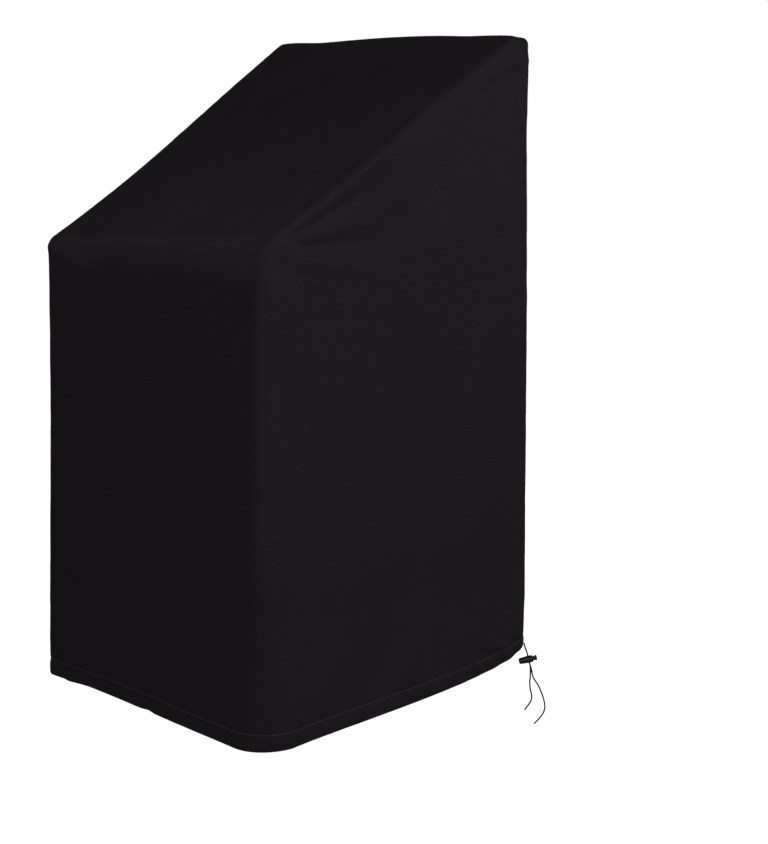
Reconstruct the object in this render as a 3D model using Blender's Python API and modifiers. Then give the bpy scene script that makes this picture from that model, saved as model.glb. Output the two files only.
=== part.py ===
"""Fitted cloth cover for a stack of patio chairs, with a drawcord and a cord lock at its hem.

Metres, +Z up.  The low front faces -Y, the tall back +Y and the right side +X.  The origin is under
the middle of the top ridge, on the cloth's inner face, where the covered stack holds the cover up.

The cover is cut as one centre strip (front, sloping top, ridge and back) and two side panels.  Each
is an open surface with a thickness.  Their edges turn in along the seams and lie face to face there,
and each lower edge is turned up inside as a hem round the drawcord's channel.
"""

import math
from collections import namedtuple

import bmesh
import bpy
from mathutils import Matrix, Vector
from mathutils.geometry import delaunay_2d_cdt

# ---------------------------------------------------------------- driving dimensions
WIDTH = 0.65
DEPTH = 0.65
BACK_HEIGHT = 1.21
FRONT_HEIGHT = 0.82
RIDGE_DEPTH = 0.05
CLOTH = 0.0012
GAP = 0.0003

# The middle of the ridge settles this far below the plain fitted shape.
RIDGE_SETTLE = 0.0030

# Where the plain fitted shape lies in the part's frame.
HALF_WIDTH = WIDTH / 2
TOP_Z = CLOTH + RIDGE_SETTLE
HEM_Z = TOP_Z - BACK_HEIGHT
FRONT_TOP_Z = HEM_Z + FRONT_HEIGHT
BACK_Y = RIDGE_DEPTH / 2
FRONT_Y = BACK_Y - DEPTH
RIDGE_Y = BACK_Y - RIDGE_DEPTH

# How tightly the cloth bends over the front edge, the ridge's front and the ridge's back.
FRONT_BEND = 0.030
RIDGE_BEND = 0.035
BACK_BEND = 0.012

# How tightly it bends from the strip to the side panels.
NEAR_EDGE_TOP = 0.028
NEAR_EDGE_MIDDLE = 0.050
NEAR_EDGE_HEM = 0.078
FAR_EDGE = 0.020
SLOPE_EDGE = 0.020
FAR_SLOPE_EDGE = 0.018
RIDGE_EDGE = 0.010
FAR_RIDGE_EDGE = 0.010
BACK_EDGE = 0.022
BACK_EDGE_HEM = 0.030
NEAR_EDGE_RISE = 0.18
BACK_EDGE_RISE = 0.15

# The strip has turned from a wall to the top where its outward direction rises this much.
OVER_TOP = 0.8

# Seams: the seam runs down the middle of each rounded edge.
SEAM_ANGLE = math.radians(45)
EDGE_STEP = math.radians(22.5)
SEAM_GAP = 2 * GAP
SEAM_ALLOWANCE = 0.009

# Edges of the cloth's surface that turn by more than this are shaded sharp.
SHARP_ANGLE = math.radians(50)

# Hem: its stitch line, and the section of the turned cloth below it, from the outer face down,
# round the bottom and up inside, as height above the lower edge and depth behind the outer face.
STITCH_HEIGHT = 0.030
HEM_SECTION = (
    (0.0150, -0.0008),
    (0.0025, 0.0004),
    (0.0000, 0.0032),
    (0.0025, 0.0060),
    (0.0150, 0.0058),
    (0.0285, 0.0030),
)

# How far each corner of the loose cloth lies from the plain fitted shape: x, y, z.
SLACK = {
    ("left", "front", "hem"): (-0.005, -0.013, -0.024),
    ("right", "front", "hem"): (-0.002, -0.011, -0.025),
    ("right", "back", "hem"): (0.0075, 0.0125, -0.002),
    ("left", "back", "hem"): (0.004, 0.004, -0.009),
    ("left", "front", "top"): (0.005, 0.009, -0.001),
    ("right", "front", "top"): (0.004, 0.006, 0.011),
    ("right", "back", "top"): (-0.0024, 0.0010, -0.0238),
    ("left", "back", "top"): (-0.001, 0.001, 0.003),
}

# The stack lifts the middle of the ridge this far above a straight line between its ends.
CROWN = 0.0094

# How far the slope's left edge dips below a straight line, and how much more towards the front.
SLOPE_DIP = 0.008
DIP_SKEW = 0.35

# How far an upright edge bows towards the right between its ends, most in its upper half.
EDGE_BOWS = {("left", "front"): 0.0042, ("right", "back"): 0.0042}
BOW_SKEW = 0.35

# The walls hang in a little between their edges, with low uneven swells.
WALL_SAG = 0.005
EDGE_HOLD = 0.14
Swell = namedtuple("Swell", "across depth up phase height")
SWELLS = (
    Swell(7.0, 5.0, 9.0, 0.4, 0.0022),
    Swell(-11.0, 9.0, 5.0, 1.9, 0.0016),
    Swell(4.0, -13.0, 15.0, 3.1, 0.0012),
)

# The drawcord lifts and gathers the hem at the back right corner.
GATHER_LIFT = 0.044
GATHER_REACH = 0.056
GATHER_HEIGHT = 0.110
PUCKER = 0.0028
PUCKER_PITCH = 0.042
PUCKER_REACH = 0.075

# Creases: a soft ridge (height above 0) or trough from one place to another on the fitted shape.
# Each place is right of the middle plane, behind the front wall and above the lower edge.
Crease = namedtuple("Crease", "start end start_width end_width height")
RIGHT = HALF_WIDTH
CREASES = (
    # A fan from the near top corner over the side panel.
    Crease((0.316, 0.016, 0.822), (RIGHT, 0.290, 0.990), 0.007, 0.024, 0.0056),
    Crease((0.316, 0.022, 0.813), (RIGHT, 0.265, 0.930), 0.005, 0.010, -0.0052),
    Crease((RIGHT, 0.030, 0.818), (RIGHT, 0.270, 0.870), 0.007, 0.017, 0.0034),
    Crease((RIGHT, 0.040, 0.816), (RIGHT, 0.240, 0.828), 0.005, 0.008, -0.0027),
    Crease((RIGHT, 0.050, 0.794), (RIGHT, 0.275, 0.775), 0.010, 0.020, 0.0030),
    Crease((RIGHT, 0.034, 0.785), (RIGHT, 0.056, 0.745), 0.006, 0.009, -0.0050),
    # Crumples under the tall corner at the back.
    Crease((RIGHT, 0.635, 1.175), (RIGHT, 0.460, 1.105), 0.008, 0.018, 0.0030),
    Crease((RIGHT, 0.630, 1.160), (RIGHT, 0.548, 1.050), 0.008, 0.015, -0.0020),
    Crease((RIGHT, 0.640, 1.170), (RIGHT, 0.620, 0.945), 0.007, 0.013, 0.0024),
    # A fan from the front left top corner, on the front wall.
    Crease((-RIGHT, 0.000, 0.815), (-0.143, 0.000, 0.754), 0.010, 0.018, 0.0031),
    Crease((-RIGHT, 0.000, 0.818), (-0.090, 0.000, 0.794), 0.008, 0.015, -0.0026),
    # Two puckers in the front hem.
    Crease((-0.250, 0.000, 0.000), (-0.175, 0.000, 0.038), 0.012, 0.016, 0.0040),
    Crease((-0.010, 0.000, 0.000), (0.034, 0.000, 0.044), 0.012, 0.014, -0.0040),
)

# Where along its length a crease starts to fade into the cloth, and where it is gone.
FADE_START = 0.50
FADE_END = 1.15

# Spacing of the points: fine where creases meet, coarse on open cloth.
COARSE = 0.070
CREASE_STEP = 0.011
HEM_STEP = 0.018
PLAIN_STEP = 0.045
STEP_GROWTH = 0.25
PANEL_MARGIN = 0.009

# Drawcord ends: each route is right, up and towards the viewer of the cord lock's middle.
CORD = 0.0030
CORD_PITCH = 0.0033
CORD_STEP = 2.0 * CORD
CURVE_PARTS = 24
EXIT_HEIGHT = 0.005
TIE_TURN = math.radians(45.5)
SHARED_ROUTE = (
    (-0.0094, 0.0325),
    (-0.0084, 0.0280),
    (-0.0066, 0.0220),
    (-0.0044, 0.0160),
)
THROUGH_LOCK = (-0.0105, -0.0050, 0.0, 0.0050, 0.0105)
SHORT_END = (
    (0.0036, -0.0190, 0.0017),
    (0.0036, -0.0277, 0.0014),
    (0.0034, -0.0376, 0.0014),
    (0.0026, -0.0465, 0.0020),
    (0.0037, -0.0592, 0.0030),
    (0.0058, -0.0680, 0.0032),
    (0.0068, -0.0773, 0.0028),
    (0.0046, -0.0856, 0.0022),
    (-0.0003, -0.0939, 0.0012),
    (-0.0068, -0.1038, 0.0000),
)
LONG_END = (
    (0.0052, -0.0190, -0.0018),
    (0.0072, -0.0277, -0.0016),
    (0.0097, -0.0376, -0.0016),
    (0.0150, -0.0460, -0.0022),
    (0.0200, -0.0540, -0.0032),
    (0.0243, -0.0640, -0.0042),
    (0.0285, -0.0745, -0.0052),
    (0.0322, -0.0872, -0.0058),
    (0.0339, -0.0989, -0.0060),
    (0.0322, -0.1080, -0.0054),
    (0.0278, -0.1160, -0.0044),
    (0.0209, -0.1244, -0.0034),
    (0.0127, -0.1326, -0.0020),
)

# Cord lock: a turned barrel and its button, on one axis, with a cross hole for both cord ends.
LOCK_TILT = math.radians(13.3)
LOCK_SIDES = 20
BORE_RADIUS = 0.0049
STEM_RADIUS = BORE_RADIUS - GAP
BORE_FLOOR = -0.0165
MOUTH = 0.0085
MOUTH_BEVEL = 0.0004
BUTTON_TRAVEL = 0.004
SPRING_ROOM = 0.0011
STEM_FOOT = BORE_FLOOR + BUTTON_TRAVEL + SPRING_ROOM
STEM_BEVEL = 0.0005
HEAD_FOOT = MOUTH + BUTTON_TRAVEL + GAP
CORD_ROOM = 0.00035
HOLE_WIDTH = CORD_PITCH + CORD + 2 * CORD_ROOM
HOLE_HEIGHT = CORD + 2 * CORD_ROOM
HOLE_ROUND = 0.0009
CUTTER_LENGTH = 0.03

# The barrel's outside, from its rim to its foot: radius, and height above the cords.
BARREL_OUTSIDE = (
    (0.0059, MOUTH),
    (0.0064, MOUTH - 0.0007),
    (0.0069, 0.0045),
    (0.0072, 0.0010),
    (0.0070, -0.0035),
    (0.0065, -0.0090),
    (0.0061, -0.0145),
    (0.0056, -0.0176),
    (0.0042, -0.0193),
    (0.0000, -0.0198),
)

# The button's head, from its crown to its underside: radius, and height above the underside.
BUTTON_HEAD = (
    (0.0000, 0.0039),
    (0.0032, 0.0037),
    (0.0047, 0.0030),
    (0.0053, 0.0018),
    (0.0052, 0.0006),
    (0.0048, 0.0000),
)

# Colours (linear) and finish of the cloth, the cord and the plastic.
CLOTH_COLOUR = (0.0092, 0.0076, 0.0092, 1.0)
CORD_COLOUR = (0.0060, 0.0055, 0.0060, 1.0)
PLASTIC_COLOUR = (0.0070, 0.0068, 0.0072, 1.0)
CLOTH_ROUGHNESS = 0.62
CORD_ROUGHNESS = 0.80
PLASTIC_ROUGHNESS = 0.42

Station = namedtuple("Station", "y z out_y out_z")


# ---------------------------------------------------------------- small helpers
def smooth(value):
    """Ease from 0 to 1 as value goes from 0 to 1."""
    value = min(1.0, max(0.0, value))
    return value * value * (3 - 2 * value)


def mix(low, high, share):
    return low + (high - low) * share


def spread(length, first, last, largest=COARSE):
    """Places from 0 to length, closest together at its ends."""
    places = [0.0]
    while places[-1] < length:
        from_start = places[-1]
        from_end = max(0.0, length - from_start)
        step = min(largest, first + STEP_GROWTH * from_start, last + STEP_GROWTH * from_end)
        places.append(from_start + step)
    return [place * length / places[-1] for place in places]


def plain_material(name, colour, roughness):
    material = bpy.data.materials.new(name)
    material.use_nodes = True
    shader = material.node_tree.nodes["Principled BSDF"]
    shader.inputs["Base Color"].default_value = colour
    shader.inputs["Roughness"].default_value = roughness
    shader.inputs["Metallic"].default_value = 0.0
    material.diffuse_color = colour
    return material


def named_collection(name):
    collection = bpy.data.collections.new(name)
    bpy.context.scene.collection.children.link(collection)
    return collection


# ---------------------------------------------------------------- the plain fitted shape
def bend(corner, radius, start_tilt, end_tilt, steps):
    """Stations round one bend; a tilt turns the outward direction from up towards the front."""
    half = abs(start_tilt - end_tilt) / 2
    middle = (start_tilt + end_tilt) / 2
    reach = radius / math.cos(half)
    centre_y = corner[0] + math.sin(middle) * reach
    centre_z = corner[1] - math.cos(middle) * reach
    stations = []
    for step in range(steps + 1):
        tilt = mix(start_tilt, end_tilt, step / steps)
        out_y = -math.sin(tilt)
        out_z = math.cos(tilt)
        stations.append(Station(centre_y + out_y * radius, centre_z + out_z * radius, out_y, out_z))
    return stations


def run(start, end, first, last):
    """Stations between two stations of one straight stretch, without its ends."""
    length = math.hypot(end.y - start.y, end.z - start.z)
    shares = [place / length for place in spread(length, first, last)]
    return [
        Station(mix(start.y, end.y, share), mix(start.z, end.z, share), start.out_y, start.out_z)
        for share in shares[1:-1]
    ]


def wall_stations():
    """Stations along the strip, from the front stitch line over the top to the back one."""
    slope_tilt = math.atan2(TOP_Z - FRONT_TOP_Z, RIDGE_Y - FRONT_Y)
    quarter = math.pi / 2
    front = bend((FRONT_Y, FRONT_TOP_Z), FRONT_BEND, quarter, slope_tilt, 5)
    ridge = bend((RIDGE_Y, TOP_Z), RIDGE_BEND, slope_tilt, 0.0, 3)
    back = bend((BACK_Y, TOP_Z), BACK_BEND, 0.0, -quarter, 5)
    first = Station(FRONT_Y, HEM_Z + STITCH_HEIGHT, -1.0, 0.0)
    last = Station(BACK_Y, HEM_Z + STITCH_HEIGHT, 1.0, 0.0)
    stations = [first]
    stations += run(first, front[0], HEM_STEP, CREASE_STEP)
    stations += front
    stations += run(front[-1], ridge[0], CREASE_STEP, PLAIN_STEP)
    stations += ridge + back
    stations += run(back[-1], last, PLAIN_STEP, HEM_STEP)
    stations.append(last)
    return stations


def wall_edge_radius(height, is_back, side):
    """How widely the cloth bends round one of the cover's upright edges at this height."""
    if is_back:
        low = mix(BACK_EDGE_HEM, BACK_EDGE, smooth(height / BACK_EDGE_RISE))
        ridge = RIDGE_EDGE if side > 0 else FAR_RIDGE_EDGE
        return mix(low, ridge, smooth((height - BACK_HEIGHT + BACK_EDGE_RISE) / BACK_EDGE_RISE))
    if side < 0:
        return FAR_EDGE
    radius = mix(NEAR_EDGE_HEM, NEAR_EDGE_MIDDLE, smooth(height / NEAR_EDGE_RISE))
    return mix(radius, NEAR_EDGE_TOP, smooth((height - FRONT_HEIGHT + NEAR_EDGE_RISE) / NEAR_EDGE_RISE))


def edge_radius(station, side):
    """How widely the cloth bends at this station from the strip to a side panel."""
    height = station.z - HEM_Z
    wall = wall_edge_radius(height, station.out_y > 0, side)
    slope = SLOPE_EDGE if side > 0 else FAR_SLOPE_EDGE
    ridge = RIDGE_EDGE if side > 0 else FAR_RIDGE_EDGE
    top = mix(slope, ridge, smooth((height - FRONT_HEIGHT) / (BACK_HEIGHT - FRONT_HEIGHT)))
    return mix(wall, top, smooth(station.out_z / OVER_TOP))


def strip_point(station, share):
    """A place and its outward direction on the strip's flat; share runs from the left to the right."""
    left = -(HALF_WIDTH - edge_radius(station, -1))
    right = HALF_WIDTH - edge_radius(station, 1)
    place = Vector((mix(left, right, share), station.y, station.z))
    return place, Vector((0.0, station.out_y, station.out_z))


def edge_point(station, side, angle):
    """The same on a rounded edge; the angle is 0 on the strip and a right angle on the panel."""
    radius = edge_radius(station, side)
    inward = radius * (1 - math.cos(angle))
    x = side * (HALF_WIDTH - radius + radius * math.sin(angle))
    place = Vector((x, station.y - station.out_y * inward, station.z - station.out_z * inward))
    along = math.cos(angle)
    return place, Vector((side * math.sin(angle), station.out_y * along, station.out_z * along))


def panel_point(y, z, side):
    return Vector((side * HALF_WIDTH, y, z)), Vector((side, 0.0, 0.0))


# ---------------------------------------------------------------- how the cloth hangs
def slack(place):
    """The loose cloth's shift here, blended from the shifts of the cover's corners."""
    right = (place.x / HALF_WIDTH + 1) / 2
    rear = (place.y - FRONT_Y) / DEPTH
    height = place.z - HEM_Z
    up = {"front": min(1.0, height / FRONT_HEIGHT), "back": min(1.0, height / BACK_HEIGHT)}
    total = Vector((0.0, 0.0, 0.0))
    for (across, depth, level), shift in SLACK.items():
        weight = right if across == "right" else 1 - right
        weight *= rear if depth == "back" else 1 - rear
        weight *= up[depth] if level == "top" else 1 - up[depth]
        total += Vector(shift) * weight
    rise = smooth((height - FRONT_HEIGHT) / (BACK_HEIGHT - FRONT_HEIGHT))
    total.z += CROWN * rise * (1 - (place.x / HALF_WIDTH) ** 4)
    slope_share = min(1.0, max(0.0, (place.y - FRONT_Y) / (RIDGE_Y - FRONT_Y)))
    dip = math.sin(math.pi * slope_share) + DIP_SKEW * math.sin(math.tau * slope_share)
    total.z -= SLOPE_DIP * (1 - right) * dip * smooth(up["front"])
    for (across, depth), bow in EDGE_BOWS.items():
        weight = (right if across == "right" else 1 - right) * (rear if depth == "back" else 1 - rear)
        total.x += bow * weight * (math.sin(math.pi * up[depth]) - BOW_SKEW * math.sin(math.tau * up[depth]))
    return total


def below_slope(y, z):
    """How far a place on a side panel lies below the sloping top."""
    along = Vector((RIDGE_Y - FRONT_Y, TOP_Z - FRONT_TOP_Z)).normalized()
    return (y - FRONT_Y) * along.y - (z - FRONT_TOP_Z) * along.x


def freedom(place, normal):
    """How free the cloth is here: 0 along the seams, which hold it, and 1 out on open cloth."""
    if abs(normal.x) < 0.99:
        free = smooth((HALF_WIDTH - abs(place.x)) / EDGE_HOLD)
        return free * normal.yz.length
    free = smooth(below_slope(place.y, place.z) / EDGE_HOLD)
    free *= smooth((place.y - FRONT_Y) / EDGE_HOLD)
    return free * smooth((BACK_Y - place.y) / EDGE_HOLD)


def hang(place, normal):
    """How far open cloth stands out from the plain shape."""
    waves = sum(
        s.height * math.sin(s.across * place.x + s.depth * place.y + s.up * place.z + s.phase)
        for s in SWELLS
    )
    return freedom(place, normal) * (waves - WALL_SAG)


def crease_height(place):
    """How far the creases lift or sink the cloth here."""
    total = 0.0
    for crease in CREASES:
        start = Vector(crease.start) + Vector((0.0, FRONT_Y, HEM_Z))
        along = Vector(crease.end) - Vector(crease.start)
        run = (place - start).dot(along) / along.length_squared
        share = min(1.0, max(0.0, run))
        away = (place - start - along * share).length
        width = mix(crease.start_width, crease.end_width, share)
        fade = 1.0 - smooth((run - FADE_START) / (FADE_END - FADE_START))
        total += crease.height * fade * math.exp(-((away / width) ** 2))
    return total


def gather(place):
    """How far the drawcord lifts the cloth here, and how far its puckers push it out."""
    away = math.hypot(place.x - HALF_WIDTH, place.y - BACK_Y)
    height = max(0.0, place.z - HEM_Z)
    lift = GATHER_LIFT * math.exp(-away / GATHER_REACH - height / GATHER_HEIGHT)
    fade = smooth(away / PUCKER_PITCH) * math.exp(-away / PUCKER_REACH - height / PUCKER_REACH)
    return lift, PUCKER * fade * math.sin(math.tau * away / PUCKER_PITCH)


def drape(place, normal):
    """Where a point of the plain fitted shape lies on the hanging cloth."""
    lift, pucker = gather(place)
    out = hang(place, normal) + crease_height(place) + pucker
    return place + slack(place) + normal * out + Vector((0.0, 0.0, lift))


# ---------------------------------------------------------------- seams and hems
def seam_frame(station, side):
    """The middle of the seam here, the way across it to the side panel and the way out of the cover."""
    small = math.radians(2)
    before = drape(*edge_point(station, side, SEAM_ANGLE - small))
    after = drape(*edge_point(station, side, SEAM_ANGLE + small))
    place, normal = edge_point(station, side, SEAM_ANGLE)
    across = (after - before).normalized()
    outward = (normal - across * normal.dot(across)).normalized()
    return drape(place, normal), across, outward


def seam_lip(station, side, to_panel, depth=0.0):
    """One lip of the seam: to_panel is 1 for the side panel's and -1 for the strip's."""
    middle, across, outward = seam_frame(station, side)
    return middle + across * (to_panel * SEAM_GAP / 2) - outward * depth


def hem_station(station, height):
    return station._replace(z=HEM_Z + height)


def into_cover(point, depth):
    """A draped point moved in from the cloth's outer face."""
    place, normal = point
    return drape(place, normal) - normal * depth


def strip_angles():
    """Angles of the rounded edge that belong to the strip, between its flat and the seam."""
    return [EDGE_STEP * step for step in range(1, round(SEAM_ANGLE / EDGE_STEP))]


def panel_angles():
    """Angles of the rounded edge that belong to a side panel, from the seam on."""
    count = round((math.pi / 2 - SEAM_ANGLE) / EDGE_STEP)
    return [SEAM_ANGLE + EDGE_STEP * step for step in range(count + 1)]


# ---------------------------------------------------------------- cloth pieces
class Surface:
    """The points and faces of one piece of cloth, added row by row."""

    def __init__(self):
        self.points = []
        self.faces = []

    def add(self, points):
        """Add points and return their numbers."""
        first = len(self.points)
        self.points += points
        return list(range(first, len(self.points)))

    def join(self, lower, upper):
        """Add quads between two rows of as many points."""
        for step in range(len(lower) - 1):
            self.faces.append((lower[step], lower[step + 1], upper[step + 1], upper[step]))

    def turn_in(self, lips, turned, flip):
        """Add a seam allowance, split the same way on both of the seam's pieces."""
        for step in range(len(lips) - 1):
            lip, next_lip = lips[step], lips[step + 1]
            added = [(lip, next_lip, turned[step + 1]), (lip, turned[step + 1], turned[step])]
            self.faces += [tuple(reversed(face)) for face in added] if flip else added

    def turn_over(self):
        self.faces = [tuple(reversed(face)) for face in self.faces]

    def cloth_object(self, name, material, collection):
        """The surface as an object that faces out, with the cloth's thickness on its inside."""
        mesh = bpy.data.meshes.new(name)
        mesh.from_pydata([tuple(point) for point in self.points], [], self.faces)
        mesh.shade_smooth()
        mesh.set_sharp_from_angle(angle=SHARP_ANGLE)
        mesh.materials.append(material)
        piece = bpy.data.objects.new(name, mesh)
        collection.objects.link(piece)
        wall = piece.modifiers.new("cloth thickness", "SOLIDIFY")
        wall.thickness = CLOTH
        wall.offset = -1.0
        wall.use_even_offset = True
        return piece


def strip_row(station, shares, depth=0.0):
    """One row of the centre strip's points, from its left seam to its right one."""
    row = [seam_lip(station, -1, -1, depth)]
    row += [into_cover(edge_point(station, -1, angle), depth) for angle in reversed(strip_angles())]
    row += [into_cover(strip_point(station, share), depth) for share in shares]
    row += [into_cover(edge_point(station, 1, angle), depth) for angle in strip_angles()]
    row.append(seam_lip(station, 1, -1, depth))
    return row


def build_centre_strip(material, collection):
    surface = Surface()
    stations = wall_stations()
    flat = WIDTH - 2 * FAR_EDGE
    shares = [place / flat for place in spread(flat, PLAIN_STEP, CREASE_STEP)]
    walls = [surface.add(strip_row(station, shares)) for station in stations]
    hems = []
    for end in (stations[0], stations[-1]):
        section = [strip_row(hem_station(end, height), shares, depth) for height, depth in HEM_SECTION]
        hems.append([surface.add(row) for row in section])
    rows = hems[0][::-1] + walls + hems[1]
    for lower, upper in zip(rows, rows[1:]):
        surface.join(lower, upper)
    for side, column in ((-1, 0), (1, -1)):
        lips = [row[column] for row in walls]
        turned = [seam_lip(station, side, -1, SEAM_ALLOWANCE) for station in stations]
        surface.turn_in(lips, surface.add(turned), flip=side > 0)
    return surface.cloth_object("centre_strip", material, collection)


def panel_levels(fine):
    """Depths and heights of the points out on a side panel."""
    near_step = CREASE_STEP if fine else PLAIN_STEP
    rear_step = HEM_STEP if fine else PLAIN_STEP
    depths = [FRONT_Y + place for place in spread(DEPTH, near_step, rear_step)]
    lower = FRONT_HEIGHT - STITCH_HEIGHT
    heights = [FRONT_TOP_Z - place for place in spread(lower, near_step, HEM_STEP)[:-1]]
    upper = spread(BACK_HEIGHT - FRONT_HEIGHT, near_step, PLAIN_STEP)
    heights += [FRONT_TOP_Z + place for place in upper[1:]]
    return depths, heights


def is_open_panel(y, z, side):
    """Whether a place on the panel lies well inside its rounded edges."""
    front = edge_radius(Station(FRONT_Y, z, -1.0, 0.0), side) + PANEL_MARGIN
    clear = y - FRONT_Y > front and BACK_Y - y > BACK_EDGE_HEM + PANEL_MARGIN
    return clear and below_slope(y, z) > SLOPE_EDGE + PANEL_MARGIN and z < TOP_Z - 2 * SLOPE_EDGE


def panel_edge_point(station, side, angle, depth=0.0):
    """A draped point on a side panel's rounded edge; the panel's lip is its outermost one."""
    if angle == SEAM_ANGLE:
        return seam_lip(station, side, 1, depth)
    return into_cover(edge_point(station, side, angle), depth)


def filled(places, outline, folds):
    """Triangles that fill an outline on the flat and keep its folds as edges."""
    cut = delaunay_2d_cdt([Vector(place) for place in places], folds, [outline], 1, 1e-7)
    origin = [sources[0] for sources in cut[3]]
    return [tuple(origin[corner] for corner in face) for face in cut[2]]


def build_side_panel(name, side, fine, material, collection):
    surface = Surface()
    stations = wall_stations()
    angles = panel_angles()
    flat = []
    rings = []
    for angle in angles:
        places = [edge_point(station, side, angle)[0] for station in stations]
        flat += [(place.y, place.z) for place in places]
        rings.append(surface.add([panel_edge_point(station, side, angle) for station in stations]))

    # Points out on the panel, the lower row of the open cloth first.
    depths, heights = panel_levels(fine)
    front_end = flat[rings[-1][0]][0] + PANEL_MARGIN
    back_end = flat[rings[-1][-1]][0] - PANEL_MARGIN
    lower_depths = [y for y in depths if front_end < y < back_end]
    open_places = [(y, z) for z in heights for y in depths if is_open_panel(y, z, side)]
    lower_places = [(y, stations[0].z) for y in lower_depths]
    flat += lower_places + open_places
    bottom = surface.add([drape(*panel_point(y, z, side)) for y, z in lower_places])
    surface.add([drape(*panel_point(y, z, side)) for y, z in open_places])

    lower_row = [ring[0] for ring in rings] + bottom + [ring[-1] for ring in reversed(rings)]
    outline = lower_row + rings[0][-2:0:-1]
    folds = [pair for ring in rings[1:] for pair in zip(ring, ring[1:])]
    surface.faces += filled(flat, outline, folds)

    # The hem hangs from the panel's lower row.
    upper = lower_row
    for height, depth in HEM_SECTION:
        front = hem_station(stations[0], height)
        back = hem_station(stations[-1], height)
        row = [panel_edge_point(front, side, angle, depth) for angle in angles]
        row += [into_cover(panel_point(y, HEM_Z + height, side), depth) for y in lower_depths]
        row += [panel_edge_point(back, side, angle, depth) for angle in reversed(angles)]
        lower = surface.add(row)
        surface.join(lower, upper)
        upper = lower

    turned = [seam_lip(station, side, 1, SEAM_ALLOWANCE) for station in stations]
    surface.turn_in(rings[0], surface.add(turned), flip=False)
    if side < 0:
        surface.turn_over()
    return surface.cloth_object(name, material, collection)


# ---------------------------------------------------------------- drawcord
def tie_axes():
    """Right, up and towards the viewer, for the hanging tie."""
    right = Vector((math.cos(TIE_TURN), math.sin(TIE_TURN), 0.0))
    up = Vector((0.0, 0.0, 1.0))
    return right, up, right.cross(up)


def lock_middle():
    """The cord lock's middle, from the place where the cord leaves the hem."""
    right, up, _ = tie_axes()
    back_hem = hem_station(wall_stations()[-1], EXIT_HEIGHT)
    middle, _, outward = seam_frame(back_hem, 1)
    leaves = middle + outward * (CORD / 2 + GAP)
    return leaves - right * SHARED_ROUTE[0][0] - up * SHARED_ROUTE[0][1]


def cord_route(free_end, toward):
    """The points that one cord end passes, from the hem to its tip."""
    right, up, viewer = tie_axes()
    middle = lock_middle()
    beside = toward * CORD_PITCH / 2
    places = [(x, z, beside) for x, z in SHARED_ROUTE]
    places += [(s * math.sin(LOCK_TILT), -s * math.cos(LOCK_TILT), beside) for s in THROUGH_LOCK]
    places += list(free_end)
    return [middle + right * x + up * z + viewer * t for x, z, t in places]


def smooth_line(route, step):
    """Evenly spaced points on a smooth curve through the route's points."""
    fine = []
    padded = [route[0] * 2 - route[1]] + route + [route[-1] * 2 - route[-2]]
    for before, start, end, after in zip(padded, padded[1:], padded[2:], padded[3:]):
        for part in range(CURVE_PARTS):
            t = part / CURVE_PARTS
            fine.append(
                (
                    start * 2
                    + (end - before) * t
                    + (before * 2 - start * 5 + end * 4 - after) * t**2
                    + (start * 3 - before - end * 3 + after) * t**3
                )
                / 2
            )
    fine.append(route[-1])
    lengths = [0.0]
    for start, end in zip(fine, fine[1:]):
        lengths.append(lengths[-1] + (end - start).length)
    count = round(lengths[-1] / step)
    line = []
    for number in range(count + 1):
        target = lengths[-1] * number / count
        spot = next(i for i in range(1, len(lengths)) if lengths[i] >= target - 1e-9)
        share = (target - lengths[spot - 1]) / (lengths[spot] - lengths[spot - 1])
        line.append(fine[spot - 1].lerp(fine[spot], share))
    return line


def build_cord(name, free_end, toward, material, collection):
    curve = bpy.data.curves.new(name, "CURVE")
    curve.dimensions = "3D"
    curve.bevel_depth = CORD / 2
    curve.bevel_resolution = 2
    curve.use_fill_caps = True
    line = smooth_line(cord_route(free_end, toward), CORD_STEP)
    spline = curve.splines.new("POLY")
    spline.points.add(len(line) - 1)
    for point, place in zip(spline.points, line):
        point.co = (*place, 1.0)
    curve.materials.append(material)
    cord = bpy.data.objects.new(name, curve)
    collection.objects.link(cord)
    return cord


# ---------------------------------------------------------------- cord lock
def turned_object(name, profile, material, collection, holder):
    """A solid of revolution about the holder's Z axis, from a profile of radius and height."""
    mesh = bpy.data.meshes.new(name)
    points = [(radius, 0.0, height) for radius, height in profile]
    mesh.from_pydata(points, [(i, i + 1) for i in range(len(points) - 1)], [])
    mesh.materials.append(material)
    piece = bpy.data.objects.new(name, mesh)
    collection.objects.link(piece)
    piece.parent = holder
    turn = piece.modifiers.new("turned", "SCREW")
    turn.axis = "Z"
    turn.steps = LOCK_SIDES
    turn.render_steps = LOCK_SIDES
    turn.use_merge_vertices = True
    turn.merge_threshold = 0.00005
    turn.use_smooth_shade = True
    return piece


def cross_cutter(name, low, high, collection, holder):
    """A bar with rounded edges along the holder's X axis, which cuts the cords' way."""
    form = bmesh.new()
    bmesh.ops.create_cube(form, size=1.0)
    bmesh.ops.scale(form, verts=form.verts, vec=(CUTTER_LENGTH, HOLE_WIDTH, high - low))
    bmesh.ops.translate(form, verts=form.verts, vec=(0.0, 0.0, (low + high) / 2))
    long_edges = [e for e in form.edges if abs(e.verts[0].co.x - e.verts[1].co.x) > CUTTER_LENGTH / 2]
    bmesh.ops.bevel(form, geom=long_edges, offset=HOLE_ROUND, segments=3, profile=0.5, affect="EDGES")
    mesh = bpy.data.meshes.new(name)
    form.to_mesh(mesh)
    form.free()
    cutter = bpy.data.objects.new(name, mesh)
    collection.objects.link(cutter)
    cutter.parent = holder
    cutter.hide_render = True
    cutter.display_type = "WIRE"
    return cutter


def cut(piece, cutter):
    boolean = piece.modifiers.new("cords' way", "BOOLEAN")
    boolean.operation = "DIFFERENCE"
    boolean.object = cutter
    boolean.solver = "EXACT"


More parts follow.
